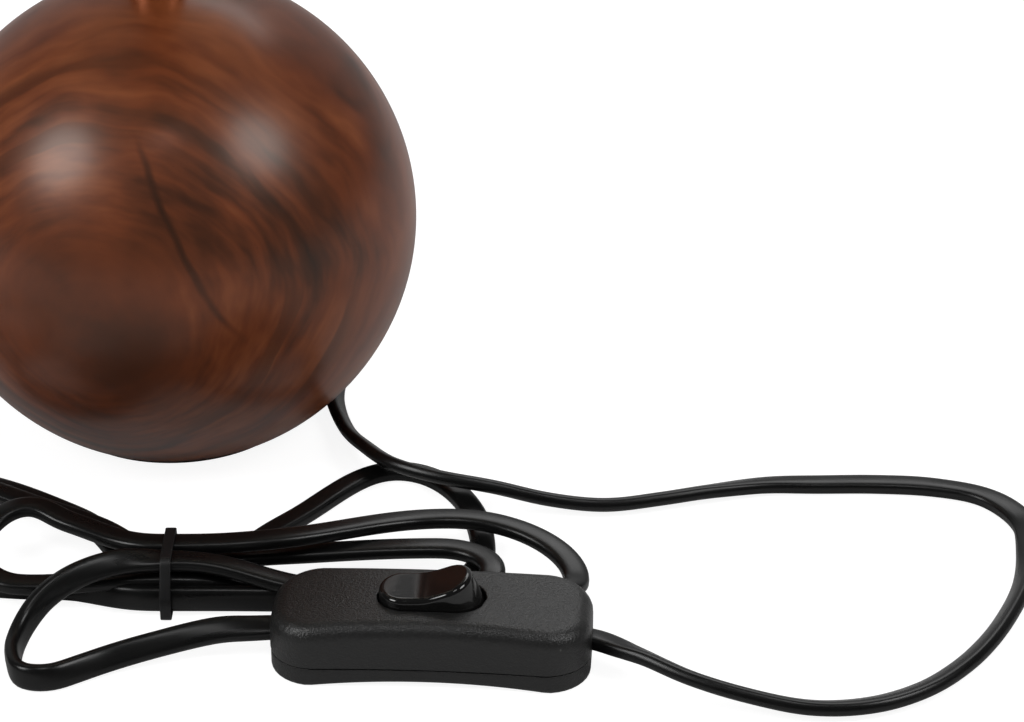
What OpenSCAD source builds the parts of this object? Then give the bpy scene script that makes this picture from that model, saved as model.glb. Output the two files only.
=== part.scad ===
// Ball table lamp: a turned wooden ball on a felt pad, a copper neck, a small screw-cap lampholder
// and a conical cloth shade, with a flat two-core lead, an in-line rocker switch and a plug.
// Millimetres. The origin is on the table, under the middle of the ball. +Z is up, the lead leaves at +Y.

/* [Ball] */
// Diameter of the wooden ball
ball_d = 108; // [100:1:116]
// Diameter of the flat foot cut under the ball
foot_d = 55; // [53:1:58]
// Thickness of the felt pad
felt_t = 1.3; // [1:0.1:3]
// Diameter of the felt pad
felt_d = 52; // [50:1:52]
// Diameter of the steel weight let into the foot
weight_d = 47.6; // [46:0.2:49]
// Thickness of the steel weight
weight_t = 6.4; // [5:0.2:7]
// Diameter of the wiring chamber
chamber_d = 32; // [28:1:34]
// Height of the wiring chamber
chamber_h = 20; // [18:1:24]
// Height of the lead's hole above the table
exit_h = 13; // [12.5:0.5:15]

/* [Neck] */
// Outer diameter of the copper neck tube
neck_d = 14; // [12:0.5:16]
// Height of the neck tube above the table at its top
neck_top = 166; // [150:1:180]
// How deep the neck tube sits in the ball
neck_seat = 3; // [2:0.5:5]
// Diameter of the threaded stem
stem_d = 10; // [9.5:0.1:10]
// Bore of the threaded stem
stem_bore = 7.4; // [6.4:0.1:7.6]
// Across flats of the stem nut
nut_af = 14; // [13:0.5:17]
// Diameter of the copper cup under the lampholder
cup_d = 32; // [31:0.5:38]

/* [Lampholder] */
// Outer diameter of the lampholder cap
cap_d = 28; // [27:0.5:29]
// Height of the lampholder cap
cap_h = 20; // [18:1:22]
// Outer diameter of the threaded sleeve
sleeve_d = 27.8; // [27:0.2:28.4]
// Height of the threaded sleeve
sleeve_h = 27; // [25:1:30]
// Inner diameter of the brass screw shell
socket_d = 14; // [13.9:0.1:14.4]
// Depth of the brass screw shell
socket_h = 21; // [19:1:22]
// Outer diameter of the shade ring
ring_d = 38; // [36:1:42]
// Height of the shade ring
ring_h = 7; // [5:1:9]

/* [Shade] */
// Diameter of the shade at its lower edge
shade_low_d = 180; // [160:2:220]
// Diameter of the shade at its upper edge
shade_top_d = 130; // [120:2:150]
// Height of the shade
shade_h = 130; // [110:2:160]
// How far the shade's lower edge hangs below its hub
shade_drop = 10; // [7:1:12]
// Thickness of the laminated shade cloth
cloth_t = 0.9; // [0.6:0.1:1.5]
// Diameter of the shade wire
wire_d = 3; // [2:0.2:4]
// Width of the hem tape
hem_w = 8; // [5:1:12]

/* [Switch] */
// Length of the in-line switch
sw_len = 63; // [60:1:68]
// Width of the switch at its ends
sw_end_w = 25.4; // [24.4:0.2:27]
// Width of the switch at its waist
sw_waist_w = 23.8; // [21:0.2:24]
// Height of the switch housing at its ends
sw_h = 12.8; // [12.4:0.2:15]
// Rise of the housing's top from its ends to its middle
sw_crown = 1.3; // [0.8:0.1:2]
// Rise of the housing's underside between its ends
sw_arch = 1.1; // [0.5:0.1:1.3]
// Height of the seam between its two shells
seam_h = 4.2; // [3.6:0.2:5]
// Wall of both shells
sw_wall = 1.6; // [1.4:0.1:1.8]
// Length of the rocker's opening
slot_len = 21.4; // [21:0.1:23]
// Width of the rocker's opening
slot_w = 12; // [11.6:0.1:12.6]
// Tilt of the rocker either way from level
rocker_tilt = 11.5; // [8:0.5:12]

/* [Lead] */
// Width of the flat lead
lead_w = 5; // [4.6:0.1:5.2]
// Thickness of the flat lead
lead_t = 3; // [2.6:0.1:3]
// Clearance between pieces that fit together
fit_gap = 0.3; // [0.2:0.05:0.4]

/* [Plug] */
// Width of the plug body
plug_w = 35; // [30:1:36]
// Thickness of the plug body
plug_t = 13.7; // [12:0.1:14]
// Length of the plug body
plug_len = 36; // [32:1:40]
// Diameter of the plug pins
pin_d = 4; // [3.8:0.1:4.8]
// Length of the plug pins
pin_len = 19; // [17:1:20]
// Distance between the plug pins
pin_gap = 18.6; // [17.5:0.1:19]

/* [Hidden] */
$fn = 96;

// Ball and foot
ball_r = ball_d / 2;
ball_z = felt_t + sqrt(ball_r * ball_r - foot_d * foot_d / 4);
ball_top = ball_z + ball_r;
weight_top = felt_t + weight_t;
chamber_top = weight_top + chamber_h;
screw_circle = (weight_d + chamber_d) / 4;
stem_r = stem_d / 2;
bush_stem_d = 7.8;
bush_hole_d = bush_stem_d + 0.2;
bush_flange_d = 12;
bush_flange_t = 2;
bush_seat_d = bush_flange_d + fit_gap;
bush_low = ball_z - exit_h + bush_seat_d / 2;
bush_seat_y = sqrt(ball_r * ball_r - bush_low * bush_low) - 0.2;
bush_len = 24;
bush_mouth_y = bush_seat_y + bush_flange_t + bush_len;
neck_low = ball_z + sqrt(ball_r * ball_r - neck_d * neck_d / 4) - neck_seat;
washer_t = 1.6;
washer_d = 24;
nut_h = 5;
thread_gap = 0.05;

// Lampholder, from the top of the neck upwards
cup_t = 1.2;
cup_h = 12;
cap_z = neck_top + cup_t;
cap_wall = 1.6;
cap_floor = 3;
boss_h = 9;
stem_top = cap_z + boss_h;
stem_low = chamber_top - washer_t - nut_h - 2;
insert_z = cap_z + 13.8;
terminal_x = 6.5;
sleeve_z = cap_z + cap_h;
insert_h = sleeve_z + 2 - insert_z;
insert_top = insert_z + insert_h;
flange_d = 32;
flange_t = 2.5;
sleeve_bore = 20.8;
shell_wall = 0.4;
shell_foot = 3.8;
shell_z = insert_top;
shell_top = shell_z + socket_h;
sleeve_top = sleeve_z + sleeve_h;
hub_t = 2;
hub_z = sleeve_z + flange_t + fit_gap;
ring_z = hub_z + hub_t + fit_gap;

// Shade
low_r = shade_low_d / 2;
top_r = shade_top_d / 2;
shade_z = hub_z - shade_drop;
shade_top = shade_z + shade_h;
shade_slope = (low_r - top_r) / shade_h;
wire_r = wire_d / 2;
wire_inset = cloth_t + wire_r + fit_gap;
arm_count = 3;
hem_t = 0.6;

// Switch, in its own frame: its middle on the table, its length along X
sw_pos = [59.3, -103.5];
sw_yaw = -3.5;
corner_r = 9;
crown_x = sw_len / 2 - 4.5;
arch_x = sw_len / 2 - 7.5;
arch_r = (arch_x * arch_x + sw_arch * sw_arch) / (2 * sw_arch);
floor_z = sw_arch + sw_wall;
base_inset = 0.5;
top_round = 3.2;
pivot_z = sw_h + sw_crown - 3;
pivot_d = 2.4;
pivot_gap = 0.05;
rocker_r = slot_len / 2 - fit_gap;
rocker_w = slot_w - 2 * fit_gap;
rocker_dip = 5.1;
rocker_skirt = 2.6;
rocker_wall = 1.6;
cheek_t = 1.6;
lead_z = 5.2;
post_d = 4.6;
case_screw_d = 2.5;
case_x = 15.5;
case_y = half_w(case_x) - sw_wall - post_d / 2 - fit_gap;
case_screws_at = [[-case_x, case_y], [case_x, case_y]];
cheek_gap = 0.1;
fulcrum_h = 3.2;
contact_l = 12;
contact_w = 4;
contact_t = 0.6;
contact_tilt = rocker_tilt / 2;
contact_pivot_z = floor_z + fulcrum_h + 0.9;
stud_x = contact_l / 2 - 1.2;
block_x = 12.4;
clamp_x = 20.2;
clamp_y = 4.8;
clamp_screw_d = 1.9;

// Lead: heights of the strands where they lie on each other, and where the tie holds them
lay_z = lead_t / 2;
layer = lead_t + 0.7;
tie_x = 5.5;
tie_front = [-87.6, -84, -83.5];
tie_back = -76.8;
tie_t = 0.6;
tie_lift = tie_t + fit_gap;
tie_w = 2.2;
tie_run = 3;

// Section of a free stretch, eight sides, and of a wound one, six sides
flat8 = [
  for (p = [[1, 0.4], [0.64, 1], [-0.64, 1], [-1, 0.4], [-1, -0.4], [-0.64, -1], [0.64, -1], [1, -0.4]])
    [p[0] * lead_w / 2, p[1] * lead_t / 2]
];
flat6 = [
  for (p = [[1, 0], [0.5, 1], [-0.5, 1], [-1, 0], [-0.5, -1], [0.5, -1]])
    [p[0] * lead_w / 2, p[1] * lead_t / 2]
];

// Route from the bush round behind the ball, over the hank and round into the switch's right end
lamp_route = [
  [0, bush_mouth_y - 0.03, exit_h], [0, 66, exit_h], [1, 73, 11], [4.5, 81, 6.5], [11, 88, 3], [20.5, 91.5, 1.6],
  [31, 89, 1.6], [39, 81, 1.6], [42, 70, 1.6], [41, 57, 1.6], [39.5, 43, 1.6], [37.5, 29, 1.6],
  [35.5, 15, 1.6], [34.8, 2, 1.6], [38.5, -12, 1.6], [43.5, -24, 4.2], [48.5, -32.5, 5.5],
  [55.5, -38.6, 5.5], [64, -42, 5.5], [74, -43.5, 4], [84.3, -46.6, 2.2], [93.9, -46.8, 1.6],
  [103.5, -46, 1.6], [115.9, -42.5, 1.6], [131.1, -38.7, 1.6], [147.9, -38.2, 1.6],
  [162.9, -38.7, 1.6], [174.4, -41.7, 1.6], [181.7, -50.6, 1.6], [182.5, -64.2, 1.6],
  [179.1, -78.1, 1.6], [173.7, -91.9, 1.6], [167.2, -104.8, 1.6], [158.1, -115.2, 1.6],
  [147.5, -122.2, 1.6], [135.4, -124.6, 1.6], [122.5, -122.4, 2.2], [109.9, -117.6, 3.4],
  [99.5, -110.5, 4.8]
];
// Route from the switch's left end, back in a fold to the waist of the hank
switch_route = [
  [20.4, -101.8, 4.8], [10.1, -102.1, 3.6], [0.4, -104.1, 2.3], [-7.9, -109.2, 1.6],
  [-14.7, -114.1, 1.6], [-19.9, -113.4, 1.6], [-23, -107, 1.6], [-23.8, -99.3, 1.8], [-22.1, -94, 4.2],
  [-17.5, -90.2, 7.5], [-10.5, -86, 9.4], [-3.2, -83.8, 9.8]
];
// Route out of the hank towards the coil
plug_route = [
  [1.5, -76.2, 5.9], [-4, -70, 5.8], [-10, -63.2, 5.3], [-17, -58, 5], [-27, -52, 5],
  [-37, -45.5, 5], [-48, -40, 5.2], [-60, -37, 5.2], [-70, -37, 4], [-80, -39, 2], [-92, -42.6, 1.5]
];
// Route from the coil up to the plug
end_route = [[-73, -62, 5.2], [-73, -50, 6.6], [-73, -39, 7.8], [-73, -30, 7.2], [-73, -26, plug_t / 2]];

// Loops of the hank: where each fans out of the tie, its peak, its tip, its belly, and the fan back
hank_right = [
  [[27.5, -74.8, 9.9], [62, -60, 6], [88.2, -81, 3.6], [79, -88.8, 7], [35, -86.8, 5.6]],
  [[27.5, -54.5, 1.5], [50, -31.8, 1.5], [69, -66, 1.5], [56, -82.4, 1.5], [27.5, -80.4, 1.5]],
  [[27.5, -72.6, 4.8], [60, -70.4, 5], [71.2, -79.5, 5], [62, -88.6, 1.5], [35, -86.8, 1.6]]
];
hank_left = [
  [[-16.5, -66.5, 9], [-25, -62.6, 10.5], [-35, -73.5, 7], [-24, -84.8, 5], [-16.5, -84.6, 5]],
  [[-16.5, -52, 1.5], [-53, -34.5, 1.5], [-64, -53, 1.5], [-46, -79.5, 1.5], [-16.5, -81.5, 1.5]]
];
leg_steps = 3;
turn_steps = 4;
coil_x = -104;
coil_y = -75;
coil_r = 31;
coil_inner = 28;
coil_turns = 1.75;
coil_rings = 42;

// Plug, lying flat beside the coil
plug_x = -73;
plug_y = -2;
relief_len = 18;
sleeve_len = 10;
sleeve_dia = pin_d - 0.4;
plug_z = plug_t / 2;

function unit(v) = v / norm(v);
function ease(t) = let (c = max(0, min(1, t))) c * c * (3 - 2 * c);
function bezier(a, b, c, d, t) =
  a * pow(1 - t, 3) + b * 3 * t * pow(1 - t, 2) + c * 3 * t * t * (1 - t) + d * pow(t, 3);
function turned(p, a) = [p[0] * cos(a) - p[1] * sin(a), p[0] * sin(a) + p[1] * cos(a)];
function in_switch(p) = let (q = turned(p, sw_yaw)) [sw_pos[0] + q[0], sw_pos[1] + q[1], p[2]];

// Direction of a path at point i
function heading(path, i) =
  unit(path[min(i + 1, len(path) - 1)] - path[max(i - 1, 0)]);
// One ring of a flat section that lies level across the path, or along side where it is given
function ring_at(path, i, section, side) =
  let (t = heading(path, i))
  let (s = is_undef(side) ? unit(cross([0, 0, 1], t)) : side)
  let (u = cross(t, s))
  [for (p = section) path[i] + s * p[0] + u * p[1]];

// Two points that bring a lead square onto the start of a path, or carry it on from its end
function before(path) = [path[0] - 0.5 * unit(path[1] - path[0]), path[0]];
function after(path) =
  let (n = len(path) - 1) [path[n], path[n] + 0.5 * unit(path[n] - path[n - 1])];

// Skin over rings that all have the same number of points, in triangles
module skin(rings) {
  m = len(rings[0]);
  n = len(rings);
  sides = [
    for (i = [0:n - 2], j = [0:m - 1])
      let (a = i * m + j, b = i * m + (j + 1) % m)
      each [[a, a + m, b + m], [a, b + m, b]]
  ];
  polyhedron(
    points = [for (r = rings) each r],
    faces = concat([[for (j = [0:m - 1]) j]], sides, [[for (j = [m - 1:-1:0]) (n - 1) * m + j]])
  );
}

module tube(path, section, side = undef) {
  skin([for (i = [0:len(path) - 1]) ring_at(path, i, section, side)]);
}

// The same, with the last ring joined to the first
module skin_loop(rings) {
  m = len(rings[0]);
  n = len(rings);
  polyhedron(
    points = [for (r = rings) each r],
    faces = [
      for (i = [0:n - 1], j = [0:m - 1])
        let (a = i * m + j, b = i * m + (j + 1) % m, c = (i + 1) % n * m + j, d = (i + 1) % n * m + (j + 1) % m)
        each [[a, c, d], [a, d, b]]
    ]
  );
}

module pipe(d, bore, h) {
  difference() {
    cylinder(d = d, h = h);
    translate([0, 0, -1]) cylinder(d = bore, h = h + 2);
  }
}

module torus(r, wire) {
  rotate_extrude() translate([r, 0]) circle(d = wire, $fn = 24);
}

// Straight rod between two points
module rod(a, b, d) {
  v = b - a;
  translate(a)
    rotate([0, acos(v[2] / norm(v)), atan2(v[1], v[0])])
      cylinder(d = d, h = norm(v), $fn = 24);
}

// Slot with round ends, its length along X
module slot_shape(l, w) {
  square([l - w, w], center = true);
  for (s = [-1, 1]) translate([s * (l - w) / 2, 0]) circle(d = w);
}

// Ball, foot and the pieces inside
module ball_base() color([0.42, 0.22, 0.13]) {
  difference() {
    translate([0, 0, ball_z]) sphere(r = ball_r, $fn = 128);
    translate([0, 0, felt_t - ball_d]) cylinder(d = ball_d, h = ball_d);
    translate([0, 0, felt_t - 1]) cylinder(d = weight_d + 2 * thread_gap, h = weight_t + 1);
    translate([0, 0, felt_t - 1]) cylinder(d = chamber_d, h = chamber_top - felt_t + 1);
    cylinder(d = stem_d + 2 * fit_gap, h = ball_top + 1);
    translate([0, 0, neck_low]) cylinder(d = neck_d + 0.1, h = ball_r);
    translate([0, 0, exit_h]) rotate([-90, 0, 0]) cylinder(d = bush_hole_d, h = ball_r);
    translate([0, bush_seat_y, exit_h]) rotate([-90, 0, 0]) cylinder(d = bush_seat_d, h = ball_r);
    for (a = [30:120:270]) rotate(a)
      translate([screw_circle, 0, weight_top - 1]) cylinder(d = 3.1, h = 11.5, $fn = 24);
  }
}

module base_weight() color([0.35, 0.36, 0.38]) {
  translate([0, 0, felt_t]) difference() {
    cylinder(d = weight_d, h = weight_t);
    translate([0, 0, -1]) cylinder(d = 12, h = weight_t + 2);
    for (a = [30:120:270]) rotate(a) translate([screw_circle, 0, 0]) {
      translate([0, 0, -1]) cylinder(d = 3.4, h = weight_t + 2, $fn = 24);
      translate([0, 0, -0.01]) cylinder(d1 = 6.6, d2 = 3.4, h = 2.2, $fn = 24);
    }
  }
}

// Three countersunk wood screws that hold the weight
module weight_screws() color([0.7, 0.7, 0.66]) {
  for (a = [30:120:270]) rotate(a) translate([screw_circle, 0, felt_t + 0.1])
    difference() {
      rotate_extrude($fn = 24)
        polygon([[0, 0], [3, 0], [1.5, 1.9], [1.5, weight_t + 7.6], [0, weight_t + 9.6]]);
      translate([-2, -0.3, -1]) cube([4, 0.6, 1.7]);
    }
}

module felt_pad() color([0.1, 0.1, 0.1]) cylinder(d = felt_d, h = felt_t);

// Bush with a flange in the ball and a tapered, grooved tail round the lead
module cord_bush() color([0.08, 0.08, 0.08]) {
  translate([0, 0, exit_h]) rotate([-90, 0, 0]) difference() {
    union() {
      translate([0, 0, chamber_d / 2 + 1])
        cylinder(d = bush_stem_d, h = bush_seat_y - chamber_d / 2 - 1);
      translate([0, 0, bush_seat_y]) cylinder(d = bush_flange_d, h = bush_flange_t);
      translate([0, 0, bush_seat_y + bush_flange_t])
        cylinder(d1 = 9.4, d2 = 7.4, h = bush_len);
    }
    translate([0, 0, chamber_d / 2]) linear_extrude(bush_len + bush_seat_y)
      slot_shape(lead_w + fit_gap, lead_t + fit_gap);
    for (i = [1:4], s = [-1, 1])
      translate([-8, s > 0 ? 3.2 : -5.2, bush_seat_y + bush_flange_t + i * 4.6]) cube([16, 2, 1.6]);
  }
}

// Lead held inside the lamp, from the bush up the stem to the terminals
inner_bend = 9;
core_d = 1.3;
core_z = (stem_top + insert_z - 3) / 2;
inner_path = concat(
  [[0, bush_mouth_y - 0.03, exit_h], [0, bush_seat_y + 5, exit_h], [0, bush_seat_y - 15, exit_h]],
  [for (a = [0:22.5:90]) [0, inner_bend * (1 - sin(a)), exit_h + inner_bend * (1 - cos(a))]],
  [for (t = [0.25, 0.6, 0.85]) [0, 0, chamber_top + t * (stem_top - chamber_top)]],
  [[0, 0, stem_top + 0.5]]
);

module inner_lead() color([0.06, 0.06, 0.06]) {
  tube(inner_path, flat8, side = [1, 0, 0]);
  for (s = [-1, 1]) {
    rod([s * 1.3, 0, stem_top + 0.2], [s * 1.3, 0, core_z + 0.5], core_d);
    rod([s * 1.3, 0, core_z], [s * terminal_x, 0, core_z], core_d);
    rod([s * terminal_x, 0, core_z - 0.5], [s * terminal_x, 0, insert_z - 1.3], core_d);
  }
}

module stem_tube() color([0.75, 0.75, 0.72])
  translate([0, 0, stem_low]) pipe(stem_d, stem_bore, stem_top - stem_low);

module stem_washer() color([0.7, 0.7, 0.68])
  translate([0, 0, chamber_top - washer_t]) pipe(washer_d, stem_d + fit_gap, washer_t);

module stem_nut() color([0.72, 0.7, 0.6])
  translate([0, 0, chamber_top - washer_t - nut_h]) difference() {
    cylinder(d = nut_af / cos(30), h = nut_h, $fn = 6);
    translate([0, 0, -1]) cylinder(d = stem_d + 2 * thread_gap, h = nut_h + 2);
  }

// Neck and lampholder
module neck_tube() color([0.72, 0.42, 0.28])
  translate([0, 0, neck_low]) pipe(neck_d, stem_d + 2 * fit_gap, neck_top - neck_low);

module neck_cup() color([0.72, 0.42, 0.28])
  translate([0, 0, neck_top]) rotate_extrude() polygon([
    [stem_r + fit_gap, 0], [neck_d / 2 + 1, 0], [cup_d / 2 - 1.5, 2.6], [cup_d / 2, 5],
    [cup_d / 2, cup_h], [cup_d / 2 - 1, cup_h], [cup_d / 2 - 1, 5.4], [cup_d / 2 - 2, 3.6],
    [neck_d / 2 + 1, cup_t], [stem_r + fit_gap, cup_t]
  ]);

module holder_cap() color([0.07, 0.07, 0.07])
  translate([0, 0, cap_z]) rotate_extrude() polygon([
    [stem_r + thread_gap, 0], [neck_d / 2, 0], [cap_d / 2 - 3, 2.8], [cap_d / 2 - 1, 5],
    [cap_d / 2, 8], [cap_d / 2, cap_h], [cap_d / 2 - cap_wall, cap_h],
    [cap_d / 2 - cap_wall, insert_z - cap_z], [cap_d / 2 - cap_wall - 2, insert_z - cap_z],
    [cap_d / 2 - cap_wall - 2, 7], [8, cap_floor + 1.6], [8, boss_h], [stem_r + thread_gap, boss_h]
  ]);

module holder_insert() color([0.86, 0.84, 0.78])
  translate([0, 0, insert_z]) difference() {
    cylinder(d = cap_d - 2 * cap_wall - fit_gap, h = insert_h);
    for (s = [-1, 1]) translate([s * 6.5, 0, -1]) cylinder(d = 2.6, h = insert_h + 2, $fn = 24);
  }

// Two brass terminals under the insert, each with a post through it
module holder_terminals() color([0.8, 0.66, 0.32])
  for (s = [-1, 1]) {
    difference() {
      translate([s * terminal_x - 2, -3, insert_z - 3]) cube([4, 6, 3]);
      translate([s * terminal_x, 0, insert_z - 4]) cylinder(d = 2, h = 3, $fn = 24);
      translate([s * terminal_x, -4, insert_z - 1.5]) rotate([-90, 0, 0]) cylinder(d = 1.9, h = 3, $fn = 24);
    }
    translate([s * terminal_x, 0, insert_z - 0.5]) cylinder(d = 2.4, h = insert_h + 0.5, $fn = 24);
  }

module terminal_screws() color([0.78, 0.78, 0.75])
  for (s = [-1, 1]) translate([s * terminal_x, -5, insert_z - 1.5]) rotate([-90, 0, 0]) difference() {
    union() {
      cylinder(d = 3, h = 1.6, $fn = 24);
      cylinder(d = 1.8, h = 3.8, $fn = 24);
    }
    translate([-2, -0.3, -0.1]) cube([4, 0.6, 0.8]);
  }

// Outer sleeve with a shoulder for the shade and ribs for the ring's thread
module holder_sleeve() color([0.07, 0.07, 0.07])
  translate([0, 0, sleeve_z]) difference() {
    union() {
      cylinder(d = flange_d, h = flange_t);
      cylinder(d = sleeve_d - 0.8, h = sleeve_h);
      for (i = [0:7]) translate([0, 0, flange_t + 3 + i * 2.5])
        rotate_extrude() polygon([
          [sleeve_bore / 2 + 1, 0], [sleeve_d / 2 - 0.4, 0], [sleeve_d / 2, 0.6],
          [sleeve_d / 2, 1], [sleeve_d / 2 - 0.4, 1.6], [sleeve_bore / 2 + 1, 1.6]
        ]);
    }
    translate([0, 0, -1]) cylinder(d = cap_d - 2 * cap_wall, h = insert_top - sleeve_z + 1.3);
    cylinder(d = sleeve_bore, h = shell_top - sleeve_z + fit_gap);
    translate([0, 0, -1]) cylinder(d = socket_d + 1.4, h = sleeve_h + 2);
  }

module screw_shell() color([0.8, 0.66, 0.32])
  translate([0, 0, shell_z]) {
    difference() {
      union() {
        cylinder(d = socket_d + 2.4, h = shell_foot);
        cylinder(d = sleeve_bore - 2, h = 0.8);
      }
      translate([0, 0, -1]) cylinder(d = socket_d + 2.4 - 2 * shell_wall, h = shell_foot + 1 - shell_wall);
      cylinder(d = socket_d, h = shell_foot + 1);
    }
    translate([0, 0, shell_foot]) pipe(socket_d + 2 * shell_wall, socket_d, socket_h - shell_foot);
  }

// Sprung tongue that meets the bulb's tip
module centre_contact() color([0.82, 0.68, 0.35])
  translate([0, 0, insert_top]) {
    translate([-4.5, -1.6, 0]) cube([7.5, 3.2, 0.5]);
    translate([-4.5, 1.6, 0]) rotate([90, 0, 0]) linear_extrude(3.2)
      polygon([[0, 0], [0.5, 0], [0.7, 1.4], [5.5, 2.9], [5.4, 3.4], [0.2, 1.8]]);
  }

module shade_ring() color([0.07, 0.07, 0.07])
  translate([0, 0, ring_z]) difference() {
    union() {
      cylinder(d = ring_d - 2, h = ring_h);
      for (a = [0:15:345]) rotate(a) translate([ring_d / 2 - 1, 0, 0]) cylinder(d = 2, h = ring_h, $fn = 24);
    }
    translate([0, 0, -1]) cylinder(d = sleeve_d + fit_gap, h = ring_h + 2);
  }

// Shade: wire frame, cloth and hems
function wall_r(z) = low_r - (z - shade_z) * shade_slope;
low_wire_z = shade_z + wire_r + 1;
top_wire_z = shade_top - wire_r - 1;
low_wire_r = wall_r(low_wire_z) - wire_inset;
top_wire_r = wall_r(top_wire_z) - wire_inset;
hub_d = flange_d + 4;

module shade_carrier() color([0.85, 0.85, 0.83]) {
  translate([0, 0, hub_z]) pipe(hub_d, sleeve_d + 2 * fit_gap, hub_t);
  translate([0, 0, low_wire_z]) torus(low_wire_r, wire_d);
  for (i = [0:arm_count - 1]) rotate(90 + i * 360 / arm_count)
    rod([hub_d / 2 - 1, 0, hub_z + hub_t / 2], [low_wire_r, 0, low_wire_z], wire_d - 1.2);
}

module shade_top_ring() color([0.85, 0.85, 0.83])
  translate([0, 0, top_wire_z]) torus(top_wire_r, wire_d);

// Conical band of one wall, its outside at this distance outside the cloth's
module cone_band(z0, z1, out, t) {
  rotate_extrude($fn = 128) polygon([
    [wall_r(z0) + out, z0], [wall_r(z1) + out, z1], [wall_r(z1) + out - t, z1], [wall_r(z0) + out - t, z0]
  ]);
}

module shade_cloth() color([0.93, 0.9, 0.83]) cone_band(shade_z, shade_top, 0, cloth_t);

module shade_lower_hem() color([0.9, 0.87, 0.8])
  cone_band(shade_z, shade_z + hem_w, hem_t, hem_t - thread_gap);

module shade_upper_hem() color([0.9, 0.87, 0.8])
  cone_band(shade_top - hem_w, shade_top, hem_t, hem_t - thread_gap);

// In-line switch
module switch_place() translate([sw_pos[0], sw_pos[1], 0]) rotate(sw_yaw) children();

// Outline with a drawn-in waist and round corners, this much inside the housing's own
function half_w(x) =
  let (run = sw_len / 2 - corner_r)
  sw_end_w / 2 - (sw_end_w - sw_waist_w) / 2 * (1 - pow(x / run, 2));
function quadrant(cx, cy, a0, r) = [for (i = [0:6]) let (a = a0 + i * 15) [cx + r * cos(a), cy + r * sin(a)]];
function outline(inset) =
  let (r = corner_r - inset, cx = sw_len / 2 - corner_r, cy = sw_end_w / 2 - corner_r)
  concat(
    [[cx + r, 0]],
    quadrant(cx, cy, 0, r),
    [for (i = [5:-1:-5]) let (x = i * cx / 6) [x, half_w(x) - inset]],
    quadrant(-cx, cy, 90, r),
    [[-cx - r, 0]],
    quadrant(-cx, -cy, 180, r),
    [for (i = [-5:5]) let (x = i * cx / 6) [x, -half_w(x) + inset]],
    quadrant(cx, -cy, 270, r)
  );
function level(points, z) = [for (p = points) [p[0], p[1], z]];
// Height of the crowned top, and a ring that follows it at this distance
function top_at(x) = sw_h + sw_crown * (1 - pow(x / crown_x, 2));
function crowned(points, dz) = [for (p = points) [p[0], p[1], top_at(p[0]) + dz]];
// Points on the edge of the rocker's opening, each in the direction of one of the outline's
function slot_edge(p) =
  let (
    a = atan2(p[1] * slot_w / sw_end_w, p[0] * slot_len / sw_len),
    r = slot_w / 2,
    c = (slot_len - slot_w) / 2,
    flat = abs(tan(a)) * c >= r,
    t = flat ? r / abs(sin(a)) : c * abs(cos(a)) + sqrt(r * r - pow(c * sin(a), 2))
  )
  [t * cos(a), t * sin(a)];
slot_ring = [for (p = outline(0)) slot_edge(p)];
function half_way(p, q) = [for (i = [0:len(p) - 1]) (p[i] + q[i]) / 2];

module cord_slots() {
  for (s = [-1, 1]) translate([s * sw_len / 2, 0, lead_z]) rotate([90, 0, 90])
    translate([0, 0, -6]) linear_extrude(12) slot_shape(lead_w + 2 * fit_gap, lead_t + 2 * fit_gap);
}

module switch_cover() color([0.05, 0.05, 0.05]) switch_place() {
  difference() {
    skin_loop(concat(
      [level(outline(0), seam_h)],
      [for (a = [0:18:90]) crowned(outline(top_round * (1 - cos(a))), top_round * (sin(a) - 1))],
      [crowned(half_way(outline(top_round), slot_ring), 0), crowned(slot_ring, 0), crowned(slot_ring, -sw_wall)],
      [crowned(half_way(outline(sw_wall), slot_ring), -sw_wall), crowned(outline(sw_wall), -sw_wall)],
      [level(outline(sw_wall), seam_h)]
    ));
    cord_slots();
  }
  for (s = [-1, 1]) difference() {
    translate([-3, s * (slot_w / 2 + cheek_gap + cheek_t / 2) - cheek_t / 2, pivot_z - pivot_d])
      cube([6, cheek_t, top_at(0) - sw_wall - pivot_z + pivot_d + 0.3]);
    translate([0, s * slot_w / 2, pivot_z]) rotate([-90 * s, 0, 0])
      cylinder(d = pivot_d + 2 * pivot_gap, h = cheek_gap + cheek_t + 0.2, $fn = 48);
  }
  for (p = case_screws_at) translate([p[0], p[1], seam_h]) difference() {
    cylinder(d = post_d, h = top_at(case_x) - sw_wall - seam_h + 0.4, $fn = 48);
    translate([0, 0, -1]) cylinder(d = case_screw_d + 2 * thread_gap, h = 6.5, $fn = 48);
  }
}

module switch_base() color([0.05, 0.05, 0.05]) switch_place() difference() {
  union() {
    difference() {
      linear_extrude(seam_h) polygon(outline(base_inset));
      translate([0, 0, floor_z]) linear_extrude(seam_h) polygon(outline(base_inset + sw_wall));
      cord_slots();
    }
    for (p = case_screws_at) translate([p[0], p[1], floor_z - 0.4])
      cylinder(d = post_d + 1.4, h = seam_h - floor_z + 0.4, $fn = 48);
    for (s = [-1, 1], t = [-1, 1]) translate([s * clamp_x, t * clamp_y, floor_z - 0.2])
      cylinder(d = clamp_screw_d + 2, h = 1.4, $fn = 24);
    translate([-stud_x - 1.2, -2, floor_z - 0.2]) cube([2.4, 4, post_top - floor_z + 0.2]);
  }
  translate([0, 0, sw_arch - arch_r]) rotate([90, 0, 0]) cylinder(r = arch_r, h = 40, center = true, $fn = 360);
  for (p = case_screws_at) translate([p[0], p[1], 0]) {
    translate([0, 0, -1]) cylinder(d = case_screw_d + 0.4, h = seam_h + 2, $fn = 48);
    translate([0, 0, -1]) cylinder(d = post_d - 0.2, h = 3.6, $fn = 48);
  }
  for (s = [-1, 1], t = [-1, 1]) translate([s * clamp_x, t * clamp_y, floor_z - 0.6])
    cylinder(d = clamp_screw_d + 2 * thread_gap, h = 4, $fn = 24);
}

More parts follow.
